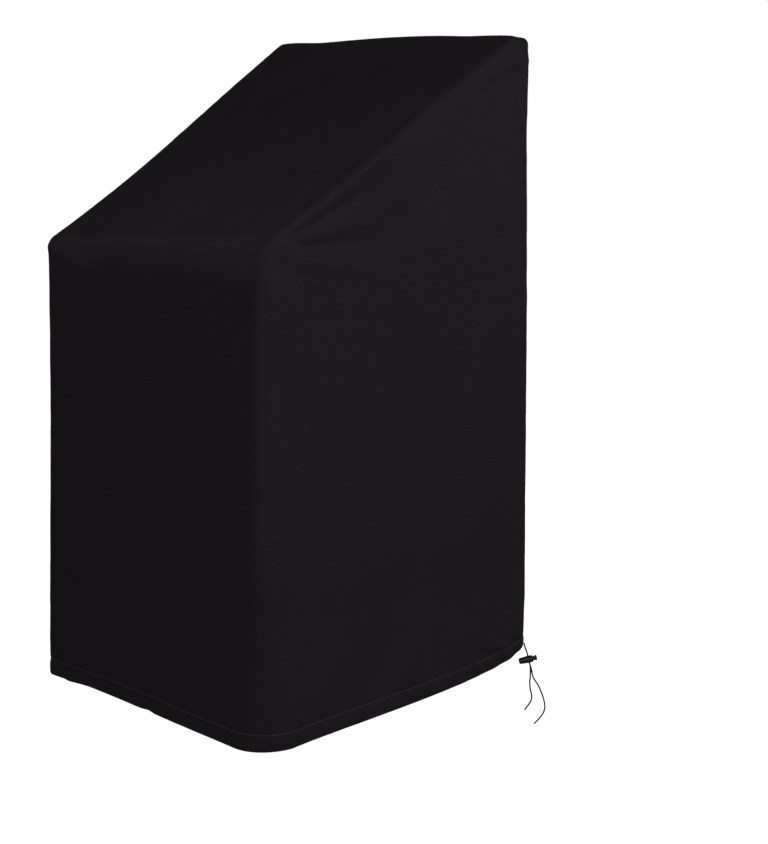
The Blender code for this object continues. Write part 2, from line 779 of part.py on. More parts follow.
def barrel_profile():
    """From the bore's floor up the bore, over the rim and down the swelling outside."""
    bore = (
        (0.0, BORE_FLOOR),
        (BORE_RADIUS, BORE_FLOOR),
        (BORE_RADIUS, MOUTH - MOUTH_BEVEL),
        (BORE_RADIUS + MOUTH_BEVEL, MOUTH),
    )
    return bore + BARREL_OUTSIDE


def button_profile():
    """From the head's crown down its rim and the stem to the foot."""
    head = tuple((radius, HEAD_FOOT + height) for radius, height in BUTTON_HEAD)
    stem = (
        (STEM_RADIUS, HEAD_FOOT - MOUTH_BEVEL / 4),
        (STEM_RADIUS, STEM_FOOT + STEM_BEVEL),
        (STEM_RADIUS - STEM_BEVEL, STEM_FOOT),
        (0.0, STEM_FOOT),
    )
    return head + stem


def build_lock(material, collection, cutters):
    right, up, _ = tie_axes()
    axis = right * math.cos(LOCK_TILT) + up * math.sin(LOCK_TILT)
    through = right * math.sin(LOCK_TILT) - up * math.cos(LOCK_TILT)
    holder = bpy.data.objects.new("lock_frame", None)
    collection.objects.link(holder)
    turn = Matrix((through, axis.cross(through), axis)).transposed()
    holder.matrix_world = Matrix.Translation(lock_middle()) @ turn.to_4x4()
    half = HOLE_HEIGHT / 2
    barrel = turned_object("lock_barrel", barrel_profile(), material, collection, holder)
    cut(barrel, cross_cutter("barrel_way", -half, half, cutters, holder))
    button = turned_object("lock_button", button_profile(), material, collection, holder)
    cut(button, cross_cutter("button_way", -half, half + BUTTON_TRAVEL, cutters, holder))
    return barrel, button


# ---------------------------------------------------------------- the whole cover
def main():
    for old in list(bpy.data.objects):
        bpy.data.objects.remove(old, do_unlink=True)
    parts = named_collection("patio_furniture_cover")
    cutters = named_collection("cutters")
    cloth = plain_material("black woven cloth", CLOTH_COLOUR, CLOTH_ROUGHNESS)
    braid = plain_material("black braided cord", CORD_COLOUR, CORD_ROUGHNESS)
    plastic = plain_material("black moulded plastic", PLASTIC_COLOUR, PLASTIC_ROUGHNESS)
    build_centre_strip(cloth, parts)
    build_side_panel("side_panel_right", 1, True, cloth, parts)
    build_side_panel("side_panel_left", -1, False, cloth, parts)
    build_cord("drawcord_short", SHORT_END, 1, braid, parts)
    build_cord("drawcord_long", LONG_END, -1, braid, parts)
    build_lock(plastic, parts, cutters)


main()
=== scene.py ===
"""Looks of a fitted cloth cover for a stack of patio chairs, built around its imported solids.

Metres, +Z up.  The low front faces -Y, the tall back +Y and the right side +X.  The cover is one
centre strip (front, sloping top, ridge and back) and two side panels of black woven cloth, sewn
along their rounded edges.  Two free ends of the hem's drawcord hang through a cord lock at the
back right corner.
"""

import logging
import math
from collections.abc import Iterator, Sequence
from dataclasses import dataclass, field
from enum import Enum, IntEnum
from itertools import pairwise, product
from typing import NamedTuple

import bmesh
import bpy
import numpy as np
from bmesh.types import BMesh
from bpy.types import Material, Mesh, Node, NodeSocket, NodeTree, Object
from mathutils import Matrix, Vector
from mathutils.geometry import delaunay_2d_cdt


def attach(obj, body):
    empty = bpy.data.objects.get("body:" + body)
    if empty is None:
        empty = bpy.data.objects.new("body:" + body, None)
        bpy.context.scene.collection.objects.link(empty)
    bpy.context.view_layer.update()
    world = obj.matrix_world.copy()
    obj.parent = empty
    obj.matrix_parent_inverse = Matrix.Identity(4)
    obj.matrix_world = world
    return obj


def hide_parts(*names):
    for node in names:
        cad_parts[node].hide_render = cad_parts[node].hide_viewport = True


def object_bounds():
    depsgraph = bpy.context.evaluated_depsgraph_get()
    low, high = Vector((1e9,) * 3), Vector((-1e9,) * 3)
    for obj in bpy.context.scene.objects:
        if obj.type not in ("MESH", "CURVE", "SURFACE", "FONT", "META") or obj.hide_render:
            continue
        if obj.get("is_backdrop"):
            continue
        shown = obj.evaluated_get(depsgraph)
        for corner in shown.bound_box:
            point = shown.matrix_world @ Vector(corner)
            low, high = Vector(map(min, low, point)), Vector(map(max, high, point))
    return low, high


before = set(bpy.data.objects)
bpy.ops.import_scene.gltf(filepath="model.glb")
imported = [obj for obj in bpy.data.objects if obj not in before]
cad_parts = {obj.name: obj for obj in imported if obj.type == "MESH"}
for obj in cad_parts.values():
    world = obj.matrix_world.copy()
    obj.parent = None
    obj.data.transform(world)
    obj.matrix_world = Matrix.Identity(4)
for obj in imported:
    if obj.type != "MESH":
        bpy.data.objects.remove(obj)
cad_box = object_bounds()

log = logging.getLogger("cover")
Array = np.ndarray
Point = tuple[float, float, float]
Number = float | Array
Value = float | NodeSocket


class Side(Enum):
    """The two sides of the cover, as the sign of X."""

    LEFT = -1
    RIGHT = 1


class Body(Enum):
    """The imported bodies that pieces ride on."""

    COVER = "cover"
    BUTTON = "button"


class Slot(Enum):
    """The record's material slots."""

    CLOTH = "cloth"
    CORD = "cord"
    LOCK = "lock"


class Edge(Enum):
    """The two cloths that meet at a seam, as the way across it from its middle."""

    STRIP = -1
    PANEL = 1


class Pattern(IntEnum):
    """The patterns of noise, by their seeds."""

    RIPPLES = 1
    SMALL_RIPPLES = 2
    SEAM_PUCKERS = 3
    HEM_PUCKERS = 4
    RIPPLE_PATCHES = 5


# ---------------------------------------------------------------- small helpers
QUARTER = math.pi / 2

# Large numbers that scatter the noise's lattice points, the step between its patterns and the
# bits that are kept.
LATTICE_FACTORS = np.array((374761393, 668265263, 1440662683))
SCATTER_FACTOR = 1274126177
PATTERN_STEP = 144665
KEPT_BITS = 0xFFFFFFFF


def smooth(value: Number) -> Array:
    """Ease from 0 to 1 as the value goes from 0 to 1."""
    value = np.clip(value, 0.0, 1.0)
    return value * value * (3 - 2 * value)


def mix(low: Number, high: Number, share: Number) -> Number:
    """The value a share of the way from low to high."""
    return low + (high - low) * share


def bell(away: Array, width: Number) -> Array:
    """A soft bump: 1 at no distance and near 0 past twice the width."""
    return np.exp(-((away / width) ** 2))


def rows(*columns: Number) -> Array:
    """Columns side by side, one point a row."""
    return np.stack(np.broadcast_arrays(*columns), axis=-1)


def dot(first: Array, second: Array) -> Array:
    """Row by row dot product, as a column."""
    return (first * second).sum(axis=-1, keepdims=True)


def unit(vectors: Array) -> Array:
    """Each row as a direction of length 1."""
    return vectors / np.sqrt(dot(vectors, vectors))


def running_length(places: Array) -> Array:
    """The length along a row of places, from 0 at the first."""
    steps = np.linalg.norm(np.diff(places, axis=0), axis=1)
    return np.concatenate([[0.0], np.cumsum(steps)])


def value_noise(points: Array, pattern: Pattern) -> Array:
    """Smooth noise from -1 to 1 with features of one unit.

    Args:
        points: Three-dimensional points, one a row.
        pattern: Which pattern.

    Returns:
        One value for each point.
    """
    cell = np.floor(points).astype(np.int64)
    part = smooth(points - cell)
    total = np.zeros(len(points))
    for corner in product((0, 1), repeat=3):
        share = np.prod(np.where(corner, part, 1 - part), axis=1)
        lattice = cell + np.array(corner)
        mixed = lattice @ LATTICE_FACTORS + pattern * PATTERN_STEP
        mixed = ((mixed ^ (mixed >> 13)) * SCATTER_FACTOR) & KEPT_BITS
        mixed = (mixed ^ (mixed >> 16)) & KEPT_BITS
        total += share * (mixed / 2**31 - 1)
    return total


def smooth_line(route: Sequence[Vector], step: float, parts: int = 24) -> list[Vector]:
    """Evenly spaced points on a smooth curve through a route's points.

    Args:
        route: The points to pass.
        step: About how far apart the new points are.
        parts: How finely each span of the curve is measured.

    Returns:
        The points, both ends included.
    """
    fine = []
    padded = [route[0] * 2 - route[1], *route, route[-1] * 2 - route[-2]]
    for before, start, end, after in zip(padded, padded[1:], padded[2:], padded[3:]):
        for part in range(parts):
            t = part / parts
            bend = (before * 2 - start * 5 + end * 4 - after) * t**2
            bend += (start * 3 - before - end * 3 + after) * t**3
            fine.append((start * 2 + (end - before) * t + bend) / 2)
    fine.append(route[-1])
    places = np.array(fine)
    lengths = running_length(places)
    targets = np.linspace(0.0, lengths[-1], round(lengths[-1] / step) + 1)
    return [Vector([np.interp(target, lengths, axis) for axis in places.T]) for target in targets]


def new_object(name: str, mesh: Mesh) -> Object:
    """An object at the origin that shows a mesh."""
    piece = bpy.data.objects.new(name, mesh)
    bpy.context.scene.collection.objects.link(piece)
    return piece


def finished_form(name: str, form: BMesh) -> Object:
    """An object that shows a form, which is used up."""
    mesh = bpy.data.meshes.new(name)
    form.to_mesh(mesh)
    form.free()
    return new_object(name, mesh)


def plain_mesh(piece: Object, name: str) -> Mesh:
    """The piece's shape with its modifiers worked in, as a mesh of its own."""
    evaluated = piece.evaluated_get(bpy.context.evaluated_depsgraph_get())
    mesh = bpy.data.meshes.new_from_object(evaluated)
    mesh.name = name
    return mesh


def add_uv(mesh: Mesh, corners: Array) -> None:
    """Give a mesh its UV map in metres, with one row for each face corner."""
    mesh.uv_layers.new(name="cloth").data.foreach_set("uv", corners.ravel())


def dress(piece: Object, body: Body, slot: Slot) -> None:
    """Say what a piece rides on, and log it."""
    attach(piece, body.value)
    faces = len(piece.data.polygons)
    log.info("%s: %d faces before modifiers, on %s", piece.name, faces, body.value)


# ---------------------------------------------------------------- node trees
class Graph:
    """A node tree that is being filled."""

    def __init__(self, tree: NodeTree) -> None:
        """Keep the tree."""
        self.tree = tree

    def add(self, kind: str, values: dict | None = None, **settings: object) -> Node:
        """Add a node.

        Args:
            kind: The node's type.
            values: Input name or number to a value, or to the socket that feeds it.
            **settings: The node's own settings.

        Returns:
            The new node.
        """
        node = self.tree.nodes.new(kind)
        for key, value in settings.items():
            setattr(node, key, value)
        for key, value in (values or {}).items():
            self.feed(node.inputs[key], value)
        return node

    def feed(self, socket: NodeSocket, value: object) -> None:
        """Give an input its value, or link the socket that feeds it."""
        if isinstance(value, NodeSocket):
            self.tree.links.new(value, socket)
        else:
            socket.default_value = value

    def math(self, operation: str, *values: Value) -> NodeSocket:
        """Add a Math node and return its result."""
        return self.add("ShaderNodeMath", dict(enumerate(values)), operation=operation).outputs[0]

    def ramp(self, value: Value, low: float, high: float) -> NodeSocket:
        """The value as a share of the way from low to high, kept between 0 and 1."""
        node = self.add("ShaderNodeMapRange", {"Value": value, "From Min": low, "From Max": high})
        return node.outputs["Result"]

    def own_place(self) -> NodeSocket:
        """The place on the piece, in metres."""
        return self.add("ShaderNodeTexCoord").outputs["Object"]

    def noise(self, place: NodeSocket, scale: float) -> NodeSocket:
        """Smooth noise from 0 to 1 at a place."""
        return self.add("ShaderNodeTexNoise", {"Vector": place, "Scale": scale}).outputs[0]

    def blend(self, share: Value, low: object, high: object) -> NodeSocket:
        """A colour between two others.

        Args:
            share: How far from the low colour to the high one.
            low: A colour, or the socket that feeds it.
            high: The same.

        Returns:
            The colour's socket.
        """
        node = self.add("ShaderNodeMix", {0: share}, data_type="RGBA")
        first, second = (socket for socket in node.inputs if socket.type == "RGBA")
        self.feed(first, low)
        self.feed(second, high)
        return next(socket for socket in node.outputs if socket.type == "RGBA")

    def bump(self, height: Value, distance: float, below: NodeSocket | None = None) -> NodeSocket:
        """A normal bent by a height.

        Args:
            height: The height, from 0 to 1.
            distance: How high 1 is, in metres.
            below: Another bent normal that this one lies on.

        Returns:
            The normal's socket.
        """
        node = self.add("ShaderNodeBump", {"Height": height, "Distance": distance})
        if below is not None:
            self.feed(node.inputs["Normal"], below)
        return node.outputs["Normal"]


class NodeGroup(Graph):
    """A node group with its sockets and its two end nodes."""

    def __init__(
        self,
        name: str,
        inputs: dict[str, str],
        outputs: dict[str, str],
        kind: str = "ShaderNodeTree",
    ) -> None:
        """Make the group.

        Args:
            name: The group's name.
            inputs: Input name to socket type.
            outputs: Output name to socket type.
            kind: The type of the tree.
        """
        super().__init__(bpy.data.node_groups.new(name, kind))
        for direction, sockets in (("INPUT", inputs), ("OUTPUT", outputs)):
            for label, socket in sockets.items():
                self.tree.interface.new_socket(label, in_out=direction, socket_type=socket)
        self.source = self.add("NodeGroupInput").outputs
        self.sink = self.add("NodeGroupOutput").inputs


FLOAT = "NodeSocketFloat"
VECTOR = "NodeSocketVector"
WHOLE = "NodeSocketInt"
GEOMETRY = "NodeSocketGeometry"

# Where one yarn passes over the other, and the yarns' heights between which their gap opens.
YARN_OVER = (-0.25, 0.25)
YARN_GAP = (0.75, 0.35)

# The ripples' noise.  The slow patches' scale as a share of the ripples', the limits of their noise
# and the ripples' least depth in them.  How far up cloth faces where ripples start to flatten and
# where they are flattest, and what flattening is taken from.
RIPPLE_NOISE = {"Detail": 2.0, "Roughness": 0.5, "Distortion": 0.4}
PATCH_SCALE = 0.12
PATCH_LIMITS = (0.35, 0.65)
LEAST_DEPTH = 0.35
FACING_UP = (0.3, 0.8)
UPRIGHT_DEPTH = 1.15

# The limits of noise that is spread over nearly its whole range.
WIDE_LIMITS = (0.3, 0.7)


def weave_group() -> NodeTree:
    """Yarns that pass over and under each other, at a place given in metres.

    Returns:
        A group that puts out the yarns' height and the share of open gap between them.
    """
    results = {"Height": FLOAT, "Gap": FLOAT}
    group = NodeGroup("plain weave", {"Place": VECTOR, "Pitch": FLOAT}, results)
    turns = group.math("DIVIDE", math.pi, group.source["Pitch"])
    values = {0: group.source["Place"], "Scale": turns}
    scaled = group.add("ShaderNodeVectorMath", values, operation="SCALE")
    axes = group.add("ShaderNodeSeparateXYZ", {0: scaled.outputs[0]})
    across = group.math("SINE", axes.outputs["X"])
    along = group.math("SINE", axes.outputs["Y"])
    warp = group.math("ABSOLUTE", across)
    weft = group.math("ABSOLUTE", along)
    over = group.ramp(group.math("MULTIPLY", across, along), *YARN_OVER)
    raised = group.math("MULTIPLY", warp, over)
    sunk = group.math("MULTIPLY", weft, group.math("SUBTRACT", 1.0, over))
    group.feed(group.sink["Height"], group.math("ADD", raised, sunk))
    group.feed(group.sink["Gap"], group.ramp(group.math("MAXIMUM", warp, weft), *YARN_GAP))
    return group.tree


def crumple_group() -> NodeTree:
    """Small soft ripples that run mostly level, deeper in patches and shallow where cloth faces up.

    Returns:
        A group that puts out the ripples' height and the slow patches.
    """
    sockets = {"Place": VECTOR, "Scale": FLOAT, "Flatten": FLOAT, "Rise": FLOAT}
    group = NodeGroup("crumple", sockets, {"Height": FLOAT, "Patch": FLOAT})
    place, scale = group.source["Place"], group.source["Scale"]
    axes = group.add("ShaderNodeSeparateXYZ", {0: place})
    sheared = group.math("MULTIPLY", axes.outputs["Y"], group.source["Rise"])
    level = group.math("SUBTRACT", axes.outputs["Z"], sheared)
    flat = group.math("MULTIPLY", level, group.source["Flatten"])
    values = {0: axes.outputs["X"], 1: axes.outputs["Y"], 2: flat}
    where = group.add("ShaderNodeCombineXYZ", values).outputs[0]
    ripple = group.add("ShaderNodeTexNoise", {"Vector": where, "Scale": scale, **RIPPLE_NOISE})
    slow = group.math("MULTIPLY", scale, PATCH_SCALE)
    patch = group.add("ShaderNodeTexNoise", {"Vector": place, "Scale": slow, "Detail": 1.0})
    depth = group.math("ADD", group.ramp(patch.outputs[0], *PATCH_LIMITS), LEAST_DEPTH)
    true_normal = group.add("ShaderNodeNewGeometry").outputs["True Normal"]
    normal = group.add("ShaderNodeSeparateXYZ", {0: true_normal})
    upright = group.math("SUBTRACT", UPRIGHT_DEPTH, group.ramp(normal.outputs["Z"], *FACING_UP))
    height = group.math("MULTIPLY", ripple.outputs[0], depth)
    group.feed(group.sink["Height"], group.math("MULTIPLY", height, upright))
    group.feed(group.sink["Patch"], patch.outputs[0])
    return group.tree


@dataclass(frozen=True)
class Effects:
    """The shader node groups that more than one finish uses."""

    weave: NodeTree = field(default_factory=weave_group)
    crumple: NodeTree = field(default_factory=crumple_group)


# ---------------------------------------------------------------- finishes
@dataclass(frozen=True)
class Finish:
    """A colour (linear), a roughness and how strongly the surface reflects."""

    name: str
    colour: Point
    roughness: float
    specular: float

    def tint(self, share: float) -> tuple[float, float, float, float]:
        """The finish's colour, lighter or darker by a share."""
        return (*(channel * share for channel in self.colour), 1.0)

    def shades(self, graph: Graph, share: Value, tints: tuple[float, float]) -> NodeSocket:
        """The finish's colour, a share of the way from one tint of it to another."""
        return graph.blend(share, *map(self.tint, tints))

    def shader(self) -> tuple[Material, Graph, Node]:
        """A new material with its plain shader.

        Returns:
            The material, its graph and its Principled BSDF.
        """
        material = bpy.data.materials.new(self.name)
        material.use_nodes = True
        material.diffuse_color = self.tint(1.0)
        shader = material.node_tree.nodes["Principled BSDF"]
        shader.inputs["Base Color"].default_value = self.tint(1.0)
        shader.inputs["Roughness"].default_value = self.roughness
        shader.inputs["Specular IOR Level"].default_value = self.specular
        return material, Graph(material.node_tree), shader


@dataclass(frozen=True)
class ClothFinish(Finish):
    """Woven cloth with yarns, small ripples, a faint sheen and slightly uneven colour.

    It has a painted highlight: a lighter band along the front top bend.  The band's limits are
    where it starts and where it is whole, along X, Y and Z.
    """

    pitch: float = 0.00055
    yarn_depth: float = 0.00006
    gap_shade: float = 0.35
    gap_tint: float = 0.3
    ripple_depth: float = 0.0018
    ripple_scale: float = 55.0
    ripple_flatten: float = 3.6
    ripple_rise: float = 0.25
    unevenness: float = 0.10
    wear: float = 0.05
    # A painted highlight along the front top bend: its strength, its colour and where its band
    # lies.
    painted_highlight: float = 0.48
    highlight_tint: float = 2.0
    highlight_limits: tuple[tuple[float, float], ...] = (
        (0.322, 0.275),
        (-0.585, -0.606),
        (-0.450, -0.405),
    )
    sheen: float = 0.005
    sheen_roughness: float = 0.4

    def material(self, effects: Effects) -> Material:
        """Build the material.

        Args:
            effects: The shared node groups.

        Returns:
            The material, which reads the piece's UV map in metres and its place.
        """
        material, graph, shader = self.shader()
        shader.inputs["Sheen Weight"].default_value = self.sheen
        shader.inputs["Sheen Roughness"].default_value = self.sheen_roughness
        on_cloth = graph.add("ShaderNodeUVMap", uv_map="cloth").outputs[0]
        in_space = graph.own_place()
        values = {"Place": on_cloth, "Pitch": self.pitch}
        yarns = graph.add("ShaderNodeGroup", values, node_tree=effects.weave)
        values = {
            "Place": in_space,
            "Scale": self.ripple_scale,
            "Flatten": self.ripple_flatten,
            "Rise": self.ripple_rise,
        }
        ripples = graph.add("ShaderNodeGroup", values, node_tree=effects.crumple)

        folds = graph.bump(ripples.outputs["Height"], self.ripple_depth)
        yarn_relief = graph.bump(yarns.outputs["Height"], self.yarn_depth, folds)
        graph.feed(shader.inputs["Normal"], yarn_relief)

        patches = graph.ramp(ripples.outputs["Patch"], *WIDE_LIMITS)
        uneven = self.shades(graph, patches, (1 - self.unevenness, 1 + self.unevenness))
        axes = graph.add("ShaderNodeSeparateXYZ", {0: in_space}).outputs
        # Painted highlight: the cloth is painted lighter in a band along the front top bend.
        band = self.painted_highlight
        for axis, limits in zip("XYZ", self.highlight_limits):
            band = graph.math("MULTIPLY", band, graph.ramp(axes[axis], *limits))
        highlighted = graph.blend(band, uneven, self.tint(self.highlight_tint))
        shaded = graph.math("MULTIPLY", yarns.outputs["Gap"], self.gap_shade)
        colour = graph.blend(shaded, highlighted, self.tint(self.gap_tint))
        graph.feed(shader.inputs["Base Color"], colour)
        worn = graph.math("MULTIPLY", patches, self.wear)
        graph.feed(shader.inputs["Roughness"], graph.math("ADD", worn, self.roughness - self.wear))
        return material


@dataclass(frozen=True)
class ThreadFinish(Finish):
    """Twisted sewing thread."""

    twist_scale: float = 2600.0
    twist_depth: float = 0.00004
    tints: tuple[float, float] = (0.7, 1.3)

    def material(self) -> Material:
        """Build the material.

        Returns:
            The material, with the thread's fine twist.
        """
        material, graph, shader = self.shader()
        twist = graph.noise(graph.own_place(), self.twist_scale)
        graph.feed(shader.inputs["Normal"], graph.bump(twist, self.twist_depth))
        lit = graph.ramp(twist, *WIDE_LIMITS)
        graph.feed(shader.inputs["Base Color"], self.shades(graph, lit, self.tints))
        return material


@dataclass(frozen=True)
class BraidFinish(Finish):
    """Braided cord: fine filaments inside each strand, with darker gaps between them."""

    filament: float = 0.00016
    filament_depth: float = 0.00003
    filament_turn: Point = (0.0, 0.0, math.radians(45))
    gap_shade: float = 0.5
    tints: tuple[float, float] = (1.15, 0.4)

    def material(self, effects: Effects) -> Material:
        """Build the material.

        Args:
            effects: The shared node groups.

        Returns:
            The material, which reads the cord's UV map in metres.
        """
        material, graph, shader = self.shader()
        on_cord = graph.add("ShaderNodeUVMap", uv_map="cloth").outputs[0]
        values = {"Vector": on_cord, "Rotation": self.filament_turn}
        turned = graph.add("ShaderNodeMapping", values).outputs[0]
        values = {"Place": turned, "Pitch": self.filament}
        strands = graph.add("ShaderNodeGroup", values, node_tree=effects.weave)
        relief = graph.bump(strands.outputs["Height"], self.filament_depth)
        graph.feed(shader.inputs["Normal"], relief)
        shaded = graph.math("MULTIPLY", strands.outputs["Gap"], self.gap_shade)
        graph.feed(shader.inputs["Base Color"], self.shades(graph, shaded, self.tints))
        return material


@dataclass(frozen=True)
class PlasticFinish(Finish):
    """Moulded plastic with a fine grain and slightly polished patches."""

    grain_scale: float = 1500.0
    grain_depth: float = 0.00002
    handled_scale: float = 160.0
    polish: float = 0.14
    tints: tuple[float, float] = (0.9, 1.2)

    def material(self) -> Material:
        """Build the material.

        Returns:
            The material, with its grain and its polished patches.
        """
        material, graph, shader = self.shader()
        in_space = graph.own_place()
        grain = graph.noise(in_space, self.grain_scale)
        graph.feed(shader.inputs["Normal"], graph.bump(grain, self.grain_depth))
        patches = graph.ramp(graph.noise(in_space, self.handled_scale), *PATCH_LIMITS)
        smoother = graph.math("MULTIPLY", patches, self.polish)
        graph.feed(shader.inputs["Roughness"], graph.math("SUBTRACT", self.roughness, smoother))
        graph.feed(shader.inputs["Base Color"], self.shades(graph, patches, self.tints))
        return material


# ---------------------------------------------------------------- the plain fitted shape
class Stations(NamedTuple):
    """Places along the strip, with the way out of the cover and how deep the cloth lies there."""

    y: Array
    z: Array
    out_y: Array
    out_z: Array
    depth: Array

    def part(self, chosen: slice) -> "Stations":
        """Only the chosen stations."""
        return Stations(*(values[chosen] for values in self))


def stations(*values: Number) -> Stations:
    """Stations from depth, height, way out and depth behind the face, all made as long."""
    return Stations(*np.broadcast_arrays(*values))


class Skin(NamedTuple):
    """Places on the fitted shape, and the way out of the cover at each."""

    place: Array
    out: Array


# The hem's section from the stitch line down, round the bottom and up inside, as height above the
# lower edge and depth behind the outer face.
HEM_SECTION = (
    (0.0262, -0.0005),
    (0.0210, -0.0008),
    (0.0150, -0.0008),
    (0.0085, -0.0005),
    (0.0034, 0.0001),
    (0.0012, 0.0012),
    (0.0001, 0.0028),
    (0.0005, 0.0045),
    (0.0025, 0.0060),
    (0.0075, 0.0063),
    (0.0150, 0.0058),
    (0.0220, 0.0045),
    (0.0285, 0.0030),
)
HEM_ROWS = len(HEM_SECTION)


@dataclass(frozen=True)
class FittedShape:
    """The cover's walls, slope and ridge with their rounded bends and edges, before it hangs."""

    half_width: float = 0.325
    depth: float = 0.65
    back_height: float = 1.21
    front_height: float = 0.82
    ridge_depth: float = 0.05
    top_z: float = 0.0042
    front_bend: float = 0.030
    ridge_bend: float = 0.035
    back_bend: float = 0.012
    near_edge_top: float = 0.028
    near_edge_middle: float = 0.050
    near_edge_hem: float = 0.078
    far_edge: float = 0.020
    slope_edge: float = 0.020
    far_slope_edge: float = 0.018
    ridge_edge: float = 0.010
    back_edge: float = 0.022
    back_edge_hem: float = 0.030
    near_edge_rise: float = 0.18
    back_edge_rise: float = 0.15
    over_top: float = 0.8
    stitch_height: float = 0.030
    near_step: float = 0.0056
    back_step: float = 0.0098
    bend_steps: tuple[int, int, int] = (12, 6, 9)

    @property
    def hem_z(self) -> float:
        """Height of the lower edge."""
        return self.top_z - self.back_height

    @property
    def front_top_z(self) -> float:
        """Height of the corner between the front wall and the slope."""
        return self.hem_z + self.front_height

    @property
    def back_y(self) -> float:
        """Where the back wall stands."""
        return self.ridge_depth / 2

    @property
    def front_y(self) -> float:
        """Where the front wall stands."""
        return self.back_y - self.depth

    @property
    def ridge_y(self) -> float:
        """Where the slope meets the ridge."""
        return self.back_y - self.ridge_depth

    def bend(
        self, corner: tuple[float, float], radius: float, tilts: tuple[float, float], steps: int
    ) -> Stations:
        """Stations round one bend.

        Args:
            corner: Depth and height of the corner that the bend rounds.
            radius: How tightly it bends.
            tilts: How far the way out leans from up towards the front, at its two ends.
            steps: The number of steps.

        Returns:
            The stations, both ends included.
        """
        middle = sum(tilts) / 2
        reach = radius / math.cos((tilts[0] - tilts[1]) / 2)
        tilt = np.linspace(*tilts, steps + 1)
        out_y, out_z = -np.sin(tilt), np.cos(tilt)
        y = corner[0] + math.sin(middle) * reach + out_y * radius
        z = corner[1] - math.cos(middle) * reach + out_z * radius
        return stations(y, z, out_y, out_z, 0.0)

    def straight(self, start: Stations, end: Stations, step: float) -> Stations:
        """Stations between two stretches.

        Args:
            start: The stretch whose last station comes before them.
            end: The stretch whose first station comes after them.
            step: About how far apart they are.

        Returns:
            The stations, without either end.
        """
        before = np.array([values[-1] for values in start])
        after = np.array([end.y[0], end.z[0], *before[2:]])
        share = np.linspace(0.0, 1.0, round(np.linalg.norm(after - before) / step) + 1)[1:-1, None]
        return Stations(*mix(before, after, share).T)

    def hem(self, is_back: bool) -> Stations:
        """Stations down the front or the back hem's section, from the stitch line."""
        height, depth = np.array([(self.stitch_height, 0.0), *HEM_SECTION]).T
        y, out = (self.back_y, 1.0) if is_back else (self.front_y, -1.0)
        return stations(y, self.hem_z + height, out, 0.0, depth)

    def all_stations(self) -> Stations:
        """All stations along the strip.

        Returns:
            The stations, from the front hem's inner end over the top to the back hem's.
        """
        slope = math.atan2(self.top_z - self.front_top_z, self.ridge_y - self.front_y)
        bends = (
            ((self.front_y, self.front_top_z), self.front_bend, (QUARTER, slope)),
            ((self.ridge_y, self.top_z), self.ridge_bend, (slope, 0.0)),
            ((self.back_y, self.top_z), self.back_bend, (0.0, -QUARTER)),
        )
        bent = (self.bend(*bend, steps) for bend, steps in zip(bends, self.bend_steps))
        front, ridge, back = bent
        up_front = self.hem(is_back=False).part(slice(None, None, -1))
        down_back = self.hem(is_back=True)
        pieces = [
            up_front,
            self.straight(up_front, front, self.near_step),
            front,
            self.straight(front, ridge, self.near_step),
            ridge,
            self.straight(ridge, back, self.near_step),
            back,
            self.straight(back, down_back, self.back_step),
            down_back,
        ]
        return Stations(*np.concatenate(pieces, axis=1))

    def edge_radius(self, at: Stations, side: Side) -> Array:
        """How widely the cloth bends from the strip to a side panel.

        Args:
            at: The stations.
            side: Which side panel.

        Returns:
            A radius for each station.
        """
        height = at.z - self.hem_z
        is_near = side is Side.RIGHT
        slope = self.slope_edge if is_near else self.far_slope_edge
        rear = mix(self.back_edge_hem, self.back_edge, smooth(height / self.back_edge_rise))
        below_top = (height - self.back_height + self.back_edge_rise) / self.back_edge_rise
        rear = mix(rear, self.ridge_edge, smooth(below_top))
        front = np.full_like(height, self.far_edge)
        if is_near:
            above_hem = smooth(height / self.near_edge_rise)
            front = mix(self.near_edge_hem, self.near_edge_middle, above_hem)
            below_top = (height - self.front_height + self.near_edge_rise) / self.near_edge_rise
            front = mix(front, self.near_edge_top, smooth(below_top))
        rise = smooth((height - self.front_height) / (self.back_height - self.front_height))
        wall = np.where(at.out_y > 0, rear, front)
        top = mix(slope, self.ridge_edge, rise)
        return mix(wall, top, smooth(at.out_z / self.over_top))

    def on_strip(self, at: Stations, share: float) -> Skin:
        """Places on the strip's flat; the share runs from its left to its right."""
        left = self.edge_radius(at, Side.LEFT) - self.half_width
        right = self.half_width - self.edge_radius(at, Side.RIGHT)
        return Skin(rows(mix(left, right, share), at.y, at.z), rows(0.0, at.out_y, at.out_z))

    def on_edge(self, at: Stations, side: Side, angle: float) -> Skin:
        """Places on a rounded edge; the angle is 0 on the strip and a right angle on the panel."""
        radius = self.edge_radius(at, side)
        along = math.cos(angle)
        inward = radius * (1 - along)
        x = side.value * (self.half_width - radius + radius * math.sin(angle))
        place = rows(x, at.y - at.out_y * inward, at.z - at.out_z * inward)
        return Skin(place, rows(side.value * math.sin(angle), at.out_y * along, at.out_z * along))

    def on_panel(self, y: Array, z: Number, side: Side) -> Skin:
        """Places on a side panel's flat."""
        place = rows(side.value * self.half_width, y, z)
        return Skin(place, place * 0 + (side.value, 0.0, 0.0))

    def below_slope(self, y: Array, z: Array) -> Array:
        """How far places lie below the plane of the sloping top."""
        along = Vector((self.ridge_y - self.front_y, self.top_z - self.front_top_z)).normalized()
        return (y - self.front_y) * along.y - (z - self.front_top_z) * along.x


# ---------------------------------------------------------------- how the cloth hangs
class Swell(NamedTuple):
    """A low wave: how fast it turns with each axis, its start and its height."""

    across: float
    depth: float
    up: float
    phase: float
    height: float


class Corner(NamedTuple):
    """A corner of the cover, and how far the loose cloth is shifted there."""

    side: Side
    is_back: bool
    is_top: bool
    shift: Point


class Crease(NamedTuple):
    """A soft ridge, or a trough where the height is negative, between two places.

    Each place is right of the middle plane, behind the front wall and above the lower edge.
    """

    start: Point
    end: Point
    start_width: float
    end_width: float
    height: float


